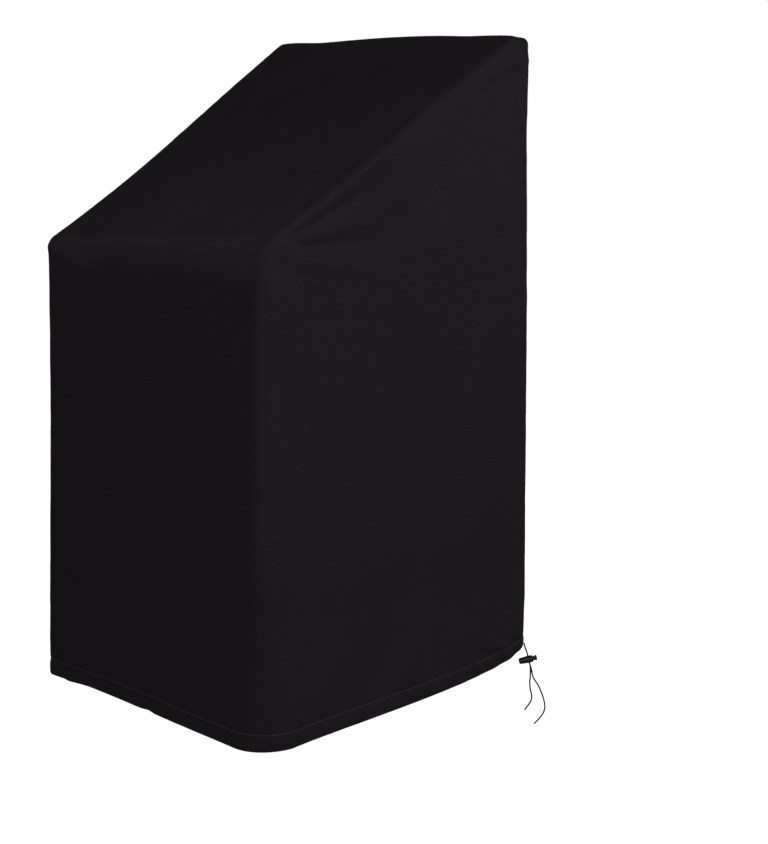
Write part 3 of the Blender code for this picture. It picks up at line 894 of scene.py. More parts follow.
@dataclass(frozen=True)
class Fan:
    """Small creases that spread from one place, with ends along a line, by turns up and down."""

    start: Point
    first_end: Point
    last_end: Point
    count: int
    width: float
    height: float
    seed: int
    widening: float = 2.0

    def creases(self) -> Iterator[Crease]:
        """Each crease, a little uneven in place, length and height.

        Yields:
            The creases, in order from the first end to the last.
        """
        random = np.random.default_rng(self.seed)
        start = np.array(self.start)
        for number in range(self.count):
            share = (number + 0.5 + random.uniform(-0.3, 0.3)) / self.count
            line_end = mix(np.array(self.first_end), np.array(self.last_end), share)
            begin = mix(start, line_end, random.uniform(0.05, 0.25))
            end = mix(start, line_end, random.uniform(0.7, 1.1))
            height = self.height * random.uniform(0.6, 1.2) * (-1) ** number
            yield Crease(tuple(begin), tuple(end), self.width, self.width * self.widening, height)


# Where along its length a crease starts to fade into the cloth, and where it is gone.
FADE_START = 0.50
FADE_END = 1.15

RIGHT = 0.325
MAIN_CREASES = (
    # A fan from the near top corner over the side panel.
    Crease((0.316, 0.016, 0.822), (RIGHT, 0.290, 0.990), 0.007, 0.024, 0.0056),
    Crease((0.316, 0.022, 0.813), (RIGHT, 0.265, 0.930), 0.005, 0.010, -0.0052),
    Crease((RIGHT, 0.030, 0.818), (RIGHT, 0.270, 0.870), 0.007, 0.017, 0.0034),
    Crease((RIGHT, 0.040, 0.816), (RIGHT, 0.240, 0.828), 0.005, 0.008, -0.0027),
    Crease((RIGHT, 0.050, 0.794), (RIGHT, 0.275, 0.775), 0.010, 0.020, 0.0030),
    Crease((RIGHT, 0.034, 0.785), (RIGHT, 0.056, 0.745), 0.006, 0.009, -0.0050),
    # Crumples under the tall corner at the back.
    Crease((RIGHT, 0.635, 1.175), (RIGHT, 0.460, 1.105), 0.008, 0.018, 0.0030),
    Crease((RIGHT, 0.630, 1.160), (RIGHT, 0.548, 1.050), 0.008, 0.015, -0.0020),
    Crease((RIGHT, 0.640, 1.170), (RIGHT, 0.620, 0.945), 0.007, 0.013, 0.0024),
    # A fan from the front left top corner, on the front wall.
    Crease((-RIGHT, 0.000, 0.815), (-0.143, 0.000, 0.754), 0.010, 0.018, 0.0031),
    Crease((-RIGHT, 0.000, 0.818), (-0.090, 0.000, 0.794), 0.008, 0.015, -0.0026),
    # Two puckers in the front hem.
    Crease((-0.250, 0.000, 0.000), (-0.175, 0.000, 0.038), 0.012, 0.016, 0.0040),
    Crease((-0.010, 0.000, 0.000), (0.034, 0.000, 0.044), 0.012, 0.014, -0.0040),
)
FINE_CREASES = (
    # Between the main folds of the near top corner's fan.
    Crease((RIGHT, 0.030, 0.826), (RIGHT, 0.120, 0.862), 0.003, 0.005, -0.0010),
    Crease((RIGHT, 0.040, 0.812), (RIGHT, 0.130, 0.836), 0.003, 0.005, 0.0011),
    Crease((RIGHT, 0.034, 0.806), (RIGHT, 0.085, 0.799), 0.003, 0.004, -0.0014),
    Crease((RIGHT, 0.060, 0.768), (RIGHT, 0.150, 0.748), 0.005, 0.009, 0.0012),
    Crease((RIGHT, 0.020, 0.770), (RIGHT, 0.040, 0.690), 0.006, 0.010, 0.0014),
    # Puckers in the hem of the side panel.
    Crease((RIGHT, 0.020, 0.030), (RIGHT, 0.075, 0.016), 0.004, 0.005, -0.0013),
    Crease((RIGHT, 0.035, 0.010), (RIGHT, 0.080, 0.024), 0.004, 0.005, 0.0012),
    Crease((RIGHT, 0.560, 0.060), (RIGHT, 0.600, 0.012), 0.006, 0.008, 0.0022),
    Crease((RIGHT, 0.530, 0.050), (RIGHT, 0.575, 0.008), 0.005, 0.007, -0.0018),
)
FANS = (
    # Fine ripples above the main ridge of the near top corner's fan, under the slope's seam.
    Fan((RIGHT, 0.020, 0.825), (RIGHT, 0.300, 1.000), (RIGHT, 0.300, 0.930), 6, 0.0035, 0.0009, 3),
    # From the same corner, down the side panel and over the front wall.
    Fan((RIGHT, 0.020, 0.800), (RIGHT, 0.180, 0.760), (RIGHT, 0.060, 0.620), 6, 0.0050, 0.0011, 8),
    Fan((0.300, 0.000, 0.800), (0.080, 0.000, 0.790), (0.200, 0.000, 0.600), 6, 0.0060, 0.0010, 13),
    # From the front left top corner over the front wall.
    Fan(
        (-RIGHT, 0.000, 0.815), (-0.180, 0.000, 0.815), (-0.250, 0.000, 0.640),
        8, 0.0045, 0.0014, 21,
    ),
    # Down from the tall corner at the back.
    Fan((RIGHT, 0.640, 1.195), (RIGHT, 0.560, 0.980), (RIGHT, 0.640, 0.960), 7, 0.0040, 0.0012, 34),
    Fan((RIGHT, 0.630, 1.190), (RIGHT, 0.380, 1.080), (RIGHT, 0.520, 1.020), 6, 0.0050, 0.0009, 55),
    Fan(
        (RIGHT, 0.615, 1.215), (RIGHT, 0.580, 1.120), (RIGHT, 0.636, 1.120),
        6, 0.0026, 0.0009, 144,
    ),
    # Up from the gathered corner of the hem.
    Fan((RIGHT, 0.650, 0.010), (RIGHT, 0.470, 0.020), (RIGHT, 0.610, 0.200), 9, 0.0040, 0.0013, 89),
)
SMALL_CREASES = (*FINE_CREASES, *(crease for fan in FANS for crease in fan.creases()))
CORNER_SLACK = (
    Corner(Side.LEFT, False, False, (-0.005, -0.013, -0.024)),
    Corner(Side.RIGHT, False, False, (-0.002, -0.011, -0.025)),
    Corner(Side.RIGHT, True, False, (0.0075, 0.0125, -0.002)),
    Corner(Side.LEFT, True, False, (0.004, 0.004, -0.009)),
    Corner(Side.LEFT, False, True, (0.005, 0.009, -0.001)),
    Corner(Side.RIGHT, False, True, (0.004, 0.006, 0.011)),
    Corner(Side.RIGHT, True, True, (-0.0024, 0.0010, -0.0238)),
    Corner(Side.LEFT, True, True, (-0.001, 0.001, 0.003)),
)
SWELLS = (
    Swell(7.0, 5.0, 9.0, 0.4, 0.0022),
    Swell(-11.0, 9.0, 5.0, 1.9, 0.0016),
    Swell(4.0, -13.0, 15.0, 3.1, 0.0012),
)
SEAM_ANGLE = math.radians(45)
SEAM_STEP = math.radians(2)
SEAM_ALLOWANCE = 0.009

# How the cloth rolls into a seam: distance from the seam's middle, and depth.  Past the middle the
# two cloths press into each other, as sewn cloth does.  They roll less at the hem.
SEAM_ROLL = ((0.0003, 0.0000), (0.00012, 0.00003), (0.00004, 0.0002), (-0.00015, 0.0012))
HEM_ROLL = 0.25

# How far the way out leans to the side on a panel's flat, and past the seam on its rounded edge.
ON_PANEL = 0.99
PAST_SEAM = 0.7

# How far apart the two sides lie in the noise, so that their puckers differ.
SIDES_APART = 9


@dataclass(frozen=True)
class Hang:
    """How the loose cloth lies over the fitted shape: slack, swells, creases and gathers."""

    shape: FittedShape
    crown: float = 0.0094
    crown_power: int = 4
    slope_dip: float = 0.008
    dip_skew: float = 0.35
    bow: float = 0.0042
    bow_skew: float = 0.35
    wall_sag: float = 0.005
    edge_hold: float = 0.14
    gather_lift: float = 0.044
    gather_reach: float = 0.056
    gather_height: float = 0.110
    pucker: float = 0.0028
    pucker_pitch: float = 0.042
    pucker_reach: float = 0.075
    ripple: float = 0.00035
    ripple_size: Point = (0.060, 0.060, 0.022)
    ripple_rise: float = 0.22
    ripple_patch: float = 0.16
    ripple_unevenness: float = 0.4
    small_ripple: float = 0.00014
    small_ripple_scale: float = 2.2
    seam_ripple: float = 0.0004
    seam_ripple_pitch: float = 0.020
    seam_ripple_length: float = 0.050
    seam_ripple_reach: float = 0.030
    hem_ripple: float = 0.0008
    hem_ripple_size: Point = (0.016, 0.035, 0.020)
    hem_ripple_reach: float = 0.016
    stitch_groove: float = 0.0009
    groove_width: float = 0.0035

    def slack(self, place: Array) -> Array:
        """The loose cloth's shift, blended from the shifts of the cover's corners.

        Args:
            place: Places on the fitted shape.

        Returns:
            A shift for each.
        """
        shape = self.shape
        x, y, z = place.T
        right = (x / shape.half_width + 1) / 2
        rear = (y - shape.front_y) / shape.depth
        height = z - shape.hem_z
        front_up = np.minimum(height / shape.front_height, 1)
        back_up = np.minimum(height / shape.back_height, 1)
        total = np.zeros_like(place)
        for side, is_back, is_top, shift in CORNER_SLACK:
            up = back_up if is_back else front_up
            weight = right if side is Side.RIGHT else 1 - right
            weight = weight * (rear if is_back else 1 - rear) * (up if is_top else 1 - up)
            total += weight[:, None] * np.array(shift)
        rise = smooth((height - shape.front_height) / (shape.back_height - shape.front_height))
        total[:, 2] += self.crown * rise * (1 - (x / shape.half_width) ** self.crown_power)
        up_slope = np.clip((y - shape.front_y) / (shape.ridge_y - shape.front_y), 0, 1)
        dip = np.sin(math.pi * up_slope) + self.dip_skew * np.sin(math.tau * up_slope)
        total[:, 2] -= self.slope_dip * (1 - right) * dip * smooth(front_up)
        for weight, up in (((1 - right) * (1 - rear), front_up), (right * rear, back_up)):
            bowed = np.sin(math.pi * up) - self.bow_skew * np.sin(math.tau * up)
            total[:, 0] += self.bow * weight * bowed
        return total

    def freedom(self, skin: Skin) -> Array:
        """How free the cloth is: 0 along the seams, which hold it, and 1 out on open cloth."""
        x, y, z = skin.place.T
        shape = self.shape
        strip = smooth((shape.half_width - np.abs(x)) / self.edge_hold)
        strip = strip * np.hypot(skin.out[:, 1], skin.out[:, 2])
        panel = smooth(shape.below_slope(y, z) / self.edge_hold)
        panel = panel * smooth((y - shape.front_y) / self.edge_hold)
        panel = panel * smooth((shape.back_y - y) / self.edge_hold)
        return np.where(np.abs(skin.out[:, 0]) < ON_PANEL, strip, panel)

    def crease_height(self, place: Array, creases: Sequence[Crease]) -> Array:
        """How far creases lift or sink the cloth.

        Args:
            place: Places on the fitted shape.
            creases: The creases.

        Returns:
            A height for each place.
        """
        total = np.zeros(len(place))
        from_corner = place - np.array((0.0, self.shape.front_y, self.shape.hem_z))
        for crease in creases:
            along = np.array(crease.end) - np.array(crease.start)
            from_start = from_corner - np.array(crease.start)
            run = from_start @ along / (along @ along)
            share = np.clip(run, 0, 1)
            away = np.linalg.norm(from_start - share[:, None] * along, axis=1)
            fade = 1 - smooth((run - FADE_START) / (FADE_END - FADE_START))
            width = mix(crease.start_width, crease.end_width, share)
            total += crease.height * fade * bell(away, width)
        return total

    def gather(self, place: Array) -> tuple[Array, Array]:
        """How far the drawcord lifts the cloth, and how far its puckers push it out."""
        away = np.hypot(place[:, 0] - self.shape.half_width, place[:, 1] - self.shape.back_y)
        height = np.maximum(place[:, 2] - self.shape.hem_z, 0)
        lift = self.gather_lift * np.exp(-away / self.gather_reach - height / self.gather_height)
        fade = smooth(away / self.pucker_pitch) * np.exp(-(away + height) / self.pucker_reach)
        return lift, self.pucker * fade * np.sin(math.tau * away / self.pucker_pitch)

    def main_folds(self, skin: Skin) -> Array:
        """Where places of the fitted shape lie once the cloth hangs, with its main folds only."""
        place = skin.place
        waves = sum(s.height * np.sin(place @ np.array(s[:3]) + s.phase) for s in SWELLS)
        lift, pucker = self.gather(place)
        out = self.freedom(skin) * (waves - self.wall_sag)
        out += self.crease_height(place, MAIN_CREASES) + pucker
        return place + self.slack(place) + skin.out * out[:, None] + rows(0.0, 0.0, lift)

    def fine_relief(self, skin: Skin) -> Array:
        """How far the small creases, ripples and the hem's stitches move the cloth out.

        Args:
            skin: Places on the fitted shape.

        Returns:
            A distance for each place.
        """
        shape = self.shape
        x, y, z = skin.place.T
        total = self.crease_height(skin.place, SMALL_CREASES)

        # Long low ripples all over, that rise a little towards the back.
        sheared = rows(x, y, z - self.ripple_rise * y) / np.array(self.ripple_size)
        patches = value_noise(skin.place / self.ripple_patch, Pattern.RIPPLE_PATCHES)
        deep = mix(1.0, patches, self.ripple_unevenness)
        total += self.ripple * deep * value_noise(sheared, Pattern.RIPPLES)
        finer = sheared * self.small_ripple_scale
        total += self.small_ripple * value_noise(finer, Pattern.SMALL_RIPPLES)

        # Short puckers across each seam, which fade out on open cloth.
        from_seam = np.where(
            np.abs(skin.out[:, 0]) < PAST_SEAM,
            shape.half_width - np.abs(x),
            np.minimum(shape.below_slope(y, z), np.minimum(y - shape.front_y, shape.back_y - y)),
        )
        held = np.exp(-np.maximum(from_seam, 0) / self.seam_ripple_reach)
        along = (y + z) / self.seam_ripple_pitch
        inward = from_seam / self.seam_ripple_length
        puckers = value_noise(rows(along, inward, np.sign(x) * SIDES_APART), Pattern.SEAM_PUCKERS)
        total += self.seam_ripple * held * puckers

        # The hem's stitches draw the cloth in, with small puckers on both sides.
        above = z - shape.hem_z - shape.stitch_height
        round_hem = rows(x + y, x - y, above) / np.array(self.hem_ripple_size)
        held = np.exp(-np.abs(above) / self.hem_ripple_reach)
        total += self.hem_ripple * held * value_noise(round_hem, Pattern.HEM_PUCKERS)
        return total - self.stitch_groove * bell(above, self.groove_width)

    def drape(self, skin: Skin, depth: Number = 0.0) -> Array:
        """Where places of the fitted shape lie on the hanging cloth, moved in by a depth."""
        return self.main_folds(skin) + skin.out * (self.fine_relief(skin) - depth)[:, None]

    def seam_frame(
        self, at: Stations, side: Side, is_fine: bool = True
    ) -> tuple[Array, Array, Array]:
        """The seam's lie at the stations.

        Args:
            at: The stations.
            side: Which side's seam.
            is_fine: Whether the small relief is counted.

        Returns:
            The seam's middle, the way across it to the side panel and the way out of the cover.
        """
        lie = self.drape if is_fine else self.main_folds
        before = lie(self.shape.on_edge(at, side, SEAM_ANGLE - SEAM_STEP))
        after = lie(self.shape.on_edge(at, side, SEAM_ANGLE + SEAM_STEP))
        skin = self.shape.on_edge(at, side, SEAM_ANGLE)
        across = unit(after - before)
        return lie(skin), across, unit(skin.out - across * dot(skin.out, across))

    def rolled(self, at: Stations, side: Side, edge: Edge) -> list[Array]:
        """A cloth's edge where it rolls into a seam.

        Args:
            at: The stations.
            side: Which side's seam.
            edge: Which of the two cloths.

        Returns:
            Each column's places, from the open cloth to the last column inside.
        """
        middle, over, outward = self.seam_frame(at, side)
        roll = np.where(at.depth == 0, 1.0, HEM_ROLL)
        columns = []
        for away, depth in SEAM_ROLL:
            inward = outward * (at.depth + depth * roll)[:, None]
            columns.append(middle + over * (edge.value * away) - inward)
        return columns

    def turned_in(self, at: Stations, side: Side, edge: Edge) -> Array:
        """The end of a cloth's seam allowance, turned in behind the seam."""
        middle, over, outward = self.seam_frame(at, side)
        return middle + over * (edge.value * SEAM_ROLL[-1][0]) - outward * SEAM_ALLOWANCE


# ---------------------------------------------------------------- cloth pieces
CLOTH = 0.0012
EDGE_STEP = math.radians(9)
SHARP_CLOTH = math.radians(55)

# For delaunay_2d_cdt: only the triangles inside the outline, and how near points are one point.
INSIDE_ONLY = 1
SAME_POINT = 1e-7


@dataclass
class ClothMesh:
    """The points, faces and UV map of one piece of cloth, added part by part."""

    places: list[Array] = field(default_factory=list)
    unrolled: list[Array] = field(default_factory=list)
    faces: list[Array] = field(default_factory=list)
    count: int = 0

    def add(self, places: Array, unrolled: Array) -> Array:
        """Add points.

        Args:
            places: The points, in an array of any shape whose last side is x, y and z.
            unrolled: Where each lies on the flat cloth, in metres.

        Returns:
            The points' numbers, in an array of the same shape.
        """
        total = places[..., 0].size
        numbers = np.arange(self.count, self.count + total).reshape(places.shape[:-1])
        self.places.append(places.reshape(-1, 3))
        self.unrolled.append(unrolled.reshape(-1, 2))
        self.count += total
        return numbers

    def join(self, grid: Array) -> None:
        """Add quads over a grid of points; its rows rise where its columns run to the right."""
        quads = [grid[:-1, :-1], grid[:-1, 1:], grid[1:, 1:], grid[1:, :-1]]
        self.faces.append(np.stack(quads, axis=-1).reshape(-1, 4))

    def fill(self, outline: Array, inner: Array) -> None:
        """Add triangles between an outline and the points inside it, as they lie on the flat.

        Args:
            outline: The outline's points, in order.
            inner: The points inside.
        """
        numbers = np.concatenate([outline, inner])
        flat = np.concatenate(self.unrolled)[numbers]
        loop = list(range(len(outline)))
        corners = [Vector(place) for place in flat]
        cut = delaunay_2d_cdt(corners, [], [loop], INSIDE_ONLY, SAME_POINT)
        origin = [numbers[sources[0]] for sources in cut[3]]
        self.faces.append(np.array([[origin[corner] for corner in face] for face in cut[2]]))

    def cloth_object(self, name: str, material: Material, is_turned: bool) -> Object:
        """The piece with the cloth's thickness on its inside.

        Args:
            name: The object's name.
            material: The cloth's material.
            is_turned: Whether the faces were added facing in.

        Returns:
            The object.
        """
        way = -1 if is_turned else 1
        faces = [face[::way] for part in self.faces for face in part.tolist()]
        mesh = bpy.data.meshes.new(name)
        mesh.from_pydata(np.concatenate(self.places), [], faces)
        mesh.shade_smooth()
        mesh.set_sharp_from_angle(angle=SHARP_CLOTH)
        corners = np.empty(len(mesh.loops), dtype=np.int32)
        mesh.loops.foreach_get("vertex_index", corners)
        add_uv(mesh, np.concatenate(self.unrolled)[corners])
        mesh.materials.append(material)
        piece = new_object(name, mesh)
        wall = piece.modifiers.new("cloth thickness", "SOLIDIFY")
        wall.thickness = CLOTH
        wall.offset = -1.0
        wall.use_even_offset = True
        return piece


@dataclass
class HemStitches:
    """A row of lock stitches that shows on the outside of the hem."""

    thread: Material
    pitch: float = 0.0040
    length: float = 0.0029
    thickness: float = 0.0011
    stand_out: float = 0.00015
    smallest: Point = (0.85, 0.9, 0.9)
    largest: Point = (1.1, 1.1, 1.1)
    sides: int = 6
    rings: int = 4
    seed: int = 7

    def __post_init__(self) -> None:
        """Build the tree that every hem shares."""
        self.sewing = self.tree()

    def tree(self) -> NodeTree:
        """A Geometry Nodes tree that sets stitches along lines of points.

        Returns:
            The tree, with named inputs for the stitches' sizes.
        """
        sockets = {
            "Geometry": GEOMETRY,
            "Pitch": FLOAT,
            "Length": FLOAT,
            "Thickness": FLOAT,
            "Sides": WHOLE,
            "Seed": WHOLE,
            "Thread": "NodeSocketMaterial",
        }
        group = NodeGroup("hem stitches", sockets, {"Geometry": GEOMETRY}, "GeometryNodeTree")
        given = group.source
        line = group.add("GeometryNodeMeshToCurve", {0: given["Geometry"]})
        values = {"Curve": line.outputs[0], "Length": given["Pitch"]}
        even = group.add("GeometryNodeResampleCurve", values, mode="LENGTH")
        values = {"Segments": given["Sides"], "Rings": self.rings, "Radius": 0.5}
        ball = group.add("GeometryNodeMeshUVSphere", values)
        values = {0: given["Length"], 1: given["Thickness"], 2: given["Thickness"]}
        size = group.add("ShaderNodeCombineXYZ", values)
        values = {"Geometry": ball.outputs[0], "Scale": size.outputs[0]}
        stitch = group.add("GeometryNodeTransform", values)
        values = {"Name": "outward"}
        outward = group.add("GeometryNodeInputNamedAttribute", values, data_type="FLOAT_VECTOR")
        tangent = group.add("GeometryNodeInputTangent")
        values = {"Primary Axis": tangent.outputs[0], "Secondary Axis": outward.outputs[0]}
        turn = group.add("FunctionNodeAxesToRotation", values, primary_axis="X", secondary_axis="Z")
        values = {"Min": self.smallest, "Max": self.largest, "Seed": given["Seed"]}
        uneven = group.add("FunctionNodeRandomValue", values, data_type="FLOAT_VECTOR")
        values = {
            "Points": even.outputs[0],
            "Instance": stitch.outputs[0],
            "Rotation": turn.outputs[0],
            "Scale": uneven.outputs[0],
        }
        sewn = group.add("GeometryNodeInstanceOnPoints", values)
        real = group.add("GeometryNodeRealizeInstances", {0: sewn.outputs[0]})
        soft = group.add("GeometryNodeSetShadeSmooth", {0: real.outputs[0]})
        values = {"Geometry": soft.outputs[0], "Material": given["Thread"]}
        done = group.add("GeometryNodeSetMaterial", values)
        group.feed(group.sink["Geometry"], done.outputs[0])
        return group.tree

    def sew(self, cloth: Object, lines: Sequence[Array]) -> Object:
        """Sew along lines of the cloth's own points.

        Args:
            cloth: The piece of cloth.
            lines: The numbers of its points that each row of stitches follows.

        Returns:
            The stitches, as one plain mesh.
        """
        total = len(cloth.data.vertices)
        places, outward = np.empty(total * 3), np.empty(total * 3)
        cloth.data.vertices.foreach_get("co", places)
        cloth.data.vertex_normals.foreach_get("vector", outward)
        chosen = np.concatenate(lines)
        outward = outward.reshape(-1, 3)[chosen]
        places = places.reshape(-1, 3)[chosen] + outward * self.stand_out
        starts = np.cumsum([0, *(len(line) for line in lines)])
        edges = [(i, i + 1) for start, end in pairwise(starts) for i in range(start, end - 1)]
        path = bpy.data.meshes.new("stitch line")
        path.from_pydata(places, edges, [])
        way_out = path.attributes.new("outward", "FLOAT_VECTOR", "POINT")
        way_out.data.foreach_set("vector", outward.ravel())
        guide = new_object("stitch line", path)
        stitches = guide.modifiers.new("stitches", "NODES")
        stitches.node_group = self.sewing
        values = {
            "Pitch": self.pitch,
            "Length": self.length,
            "Thickness": self.thickness,
            "Sides": self.sides,
            "Seed": self.seed,
            "Thread": self.thread,
        }
        for socket in self.sewing.interface.items_tree:
            if socket.name in values:
                stitches[socket.identifier] = values[socket.name]
        mesh = plain_mesh(guide, cloth.name.replace("cloth", "stitches"))
        bpy.data.objects.remove(guide, do_unlink=True)
        return new_object(mesh.name, mesh)


@dataclass(frozen=True)
class Cut:
    """The node that a piece of cloth stands for, the flat size it was cut from and its own area."""

    node: str
    flat: tuple[float, float]
    area: float

    def declare(self, cloth: Object, stitches: Object) -> None:
        """Say what a piece of cloth and its stitches are."""
        for piece in (cloth, stitches):
            dress(piece, Body.COVER, Slot.CLOTH)
        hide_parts(self.node)


@dataclass
class CentreStrip:
    """Front wall, sloping top, ridge and back wall in one long cut of cloth."""

    hang: Hang
    cut: Cut = Cut("centre_strip", (0.66, 2.83), 1.86)
    columns: int = 86

    def build(self, material: Material, stitching: HemStitches) -> None:
        """Build the strip and its stitches, and say what they are.

        Args:
            material: The cloth's material.
            stitching: What sews its two hems.
        """
        shape = self.hang.shape
        at = shape.all_stations()
        surface = ClothMesh()
        along = running_length(rows(at.y - at.out_y * at.depth, at.z - at.out_z * at.depth))
        places, sideways = self.edge(at, Side.LEFT)
        places, sideways = places[::-1], sideways[::-1]
        for share in np.linspace(0.0, 1.0, self.columns):
            skin = shape.on_strip(at, share)
            places.append(self.hang.drape(skin, at.depth))
            sideways.append(skin.place[:, 0])
        right_places, right_sideways = self.edge(at, Side.RIGHT)
        places += right_places
        sideways += right_sideways
        unrolled = rows(np.stack(sideways, axis=1), along[:, None])
        grid = surface.add(np.stack(places, axis=1), unrolled)
        surface.join(grid)

        last = len(along) - 1 - HEM_ROWS
        walls = slice(HEM_ROWS, last + 1)
        for side, column in ((Side.LEFT, 0), (Side.RIGHT, -1)):
            turned = self.hang.turned_in(at.part(walls), side, Edge.STRIP)
            beyond = sideways[column][walls] + side.value * SEAM_ALLOWANCE
            inner = surface.add(turned, rows(beyond, along[walls]))
            pair = [inner, grid[walls, column]]
            surface.join(np.stack(pair[:: -side.value], axis=1))
        cloth = surface.cloth_object("centre_strip_cloth", material, is_turned=False)
        self.cut.declare(cloth, stitching.sew(cloth, [grid[HEM_ROWS], grid[last]]))

    def edge(self, at: Stations, side: Side) -> tuple[list[Array], list[Array]]:
        """The strip's share of one rounded edge, from its flat out to the seam.

        Args:
            at: The stations.
            side: Which side.

        Returns:
            Each column's places, and how far across the cloth it lies.
        """
        shape = self.hang.shape
        radius = shape.edge_radius(at, side)
        flat_edge = shape.half_width - radius
        places, sideways = [], []
        for step in range(1, round(SEAM_ANGLE / EDGE_STEP)):
            angle = step * EDGE_STEP
            places.append(self.hang.drape(shape.on_edge(at, side, angle), at.depth))
            sideways.append(side.value * (flat_edge + radius * angle))
        places += self.hang.rolled(at, side, Edge.STRIP)
        for away, depth in SEAM_ROLL:
            sideways.append(side.value * (flat_edge + radius * SEAM_ANGLE - away + depth))
        return places, sideways


@dataclass
class SidePanel:
    """One five-sided side panel."""

    hang: Hang
    side: Side
    step: float
    margin: float = 0.0025
    flat: tuple[float, float] = (0.67, 1.24)
    area: float = 0.70

    @property
    def name(self) -> str:
        """The panel's node."""
        return f"side_panel_{self.side.name.lower()}"

    def build(self, material: Material, stitching: HemStitches) -> None:
        """Build the panel and its stitches, and say what they are.

        Args:
            material: The cloth's material.
            stitching: What sews its hem.
        """
        shape, hang, side = self.hang.shape, self.hang, self.side
        at = shape.all_stations()
        surface = ClothMesh()
        last = len(at.y) - 1 - HEM_ROWS
        walls = slice(HEM_ROWS, last + 1)
        places, flat = self.rings(at)
        ring = surface.add(np.stack(places, axis=1), np.stack(flat, axis=1))
        surface.join(ring)
        turned = hang.turned_in(at.part(walls), side, Edge.PANEL)
        beyond = flat[0][walls] + rows(at.out_y, at.out_z)[walls] * SEAM_ALLOWANCE
        inner = surface.add(turned, beyond)
        surface.join(np.stack([inner, ring[walls, 0]], axis=1))

        # The panel's flat: a lower row on the stitch line, and open cloth above it.
        front_end, back_end = flat[-1][HEM_ROWS, 0], flat[-1][last, 0]
        steps = round((back_end - front_end) / self.step)
        y = np.linspace(front_end, back_end, steps + 1)[1:-1]
        z = np.full_like(y, shape.hem_z + shape.stitch_height)
        bottom = surface.add(hang.drape(shape.on_panel(y, z, side)), rows(y, z))
        open_y, open_z = self.open_places(y)
        skin = shape.on_panel(open_y, open_z, side)
        open_cloth = surface.add(hang.drape(skin), rows(open_y, open_z))
        surface.fill(np.concatenate([bottom, ring[walls, -1][::-1]]), open_cloth)

        # The hem hangs from the lower row.
        hem = shape.hem(is_back=False).part(slice(None, 0, -1))
        skins = [shape.on_panel(y, np.full_like(y, height), side) for height in hem.z]
        lower = np.stack([hang.drape(skin, depth) for skin, depth in zip(skins, hem.depth)])
        down = running_length(rows(hem.depth, hem.z))
        unrolled = rows(y[None, :], (z[0] - down[-1] + down)[:, None])
        hem_cloth = surface.add(lower, unrolled)
        inner_rows = np.concatenate([hem_cloth, bottom[None, :]])
        front, back = ring[: HEM_ROWS + 1, -1], ring[::-1][: HEM_ROWS + 1, -1]
        surface.join(np.column_stack([front, inner_rows, back]))

        cloth = surface.cloth_object(self.name + "_cloth", material, is_turned=side is Side.LEFT)
        line = np.concatenate([ring[HEM_ROWS], bottom, ring[last][::-1]])
        Cut(self.name, self.flat, self.area).declare(cloth, stitching.sew(cloth, [line]))

    def rings(self, at: Stations) -> tuple[list[Array], list[Array]]:
        """The panel's share of its rounded edge, from the seam in to its flat.

        Args:
            at: The stations.

        Returns:
            Each ring's places, and where they lie on the flat cloth.
        """
        shape, hang, side = self.hang.shape, self.hang, self.side
        radius = shape.edge_radius(at, side)[:, None]
        way_out = rows(at.out_y, at.out_z)
        places, flat = hang.rolled(at, side, Edge.PANEL)[::-1], []
        for away, depth in reversed(SEAM_ROLL):
            reach = radius * (QUARTER - SEAM_ANGLE - 1) - away + depth
            flat.append(rows(at.y, at.z) + way_out * reach)
        for step in range(1, round((QUARTER - SEAM_ANGLE) / EDGE_STEP) + 1):
            angle = SEAM_ANGLE + step * EDGE_STEP
            places.append(hang.drape(shape.on_edge(at, side, angle), at.depth))
            flat.append(rows(at.y, at.z) + way_out * radius * (QUARTER - angle - 1))
        return places, flat

    def open_places(self, columns: Array) -> tuple[Array, Array]:
        """Places well inside the panel's rounded edges, on an even grid.

        Args:
            columns: The grid's depths.

        Returns:
            The places' depths and heights.
        """
        shape, side = self.hang.shape, self.side
        low = shape.hem_z + shape.stitch_height + self.step
        grid = np.meshgrid(columns, np.arange(low, shape.top_z, self.step))
        y, z = (values.ravel() for values in grid)
        share = np.clip((y - shape.front_y) / (shape.ridge_y - shape.front_y), 0, 1)
        at_front = stations(shape.front_y, z, -1.0, 0.0, 0.0)
        at_back = stations(shape.back_y, z, 1.0, 0.0, 0.0)
        at_top = stations(y, mix(shape.front_top_z, shape.top_z, share), 0.0, 1.0, 0.0)
        top_radius = shape.edge_radius(at_top, side)
        below = shape.below_slope(y, z)
        inside = y - shape.front_y > shape.edge_radius(at_front, side) + self.margin
        inside &= shape.back_y - y > shape.edge_radius(at_back, side) + self.margin
        inside &= below > top_radius + self.margin
        inside &= shape.top_z - z > top_radius + 2 * self.margin

        # The front top corner bends both ways, so the grid keeps farther from it.
        is_at_bend = y < shape.front_y + 2 * shape.front_bend
        inside &= ~(is_at_bend & (below < top_radius + 4 * self.margin))
        return y[inside], z[inside]


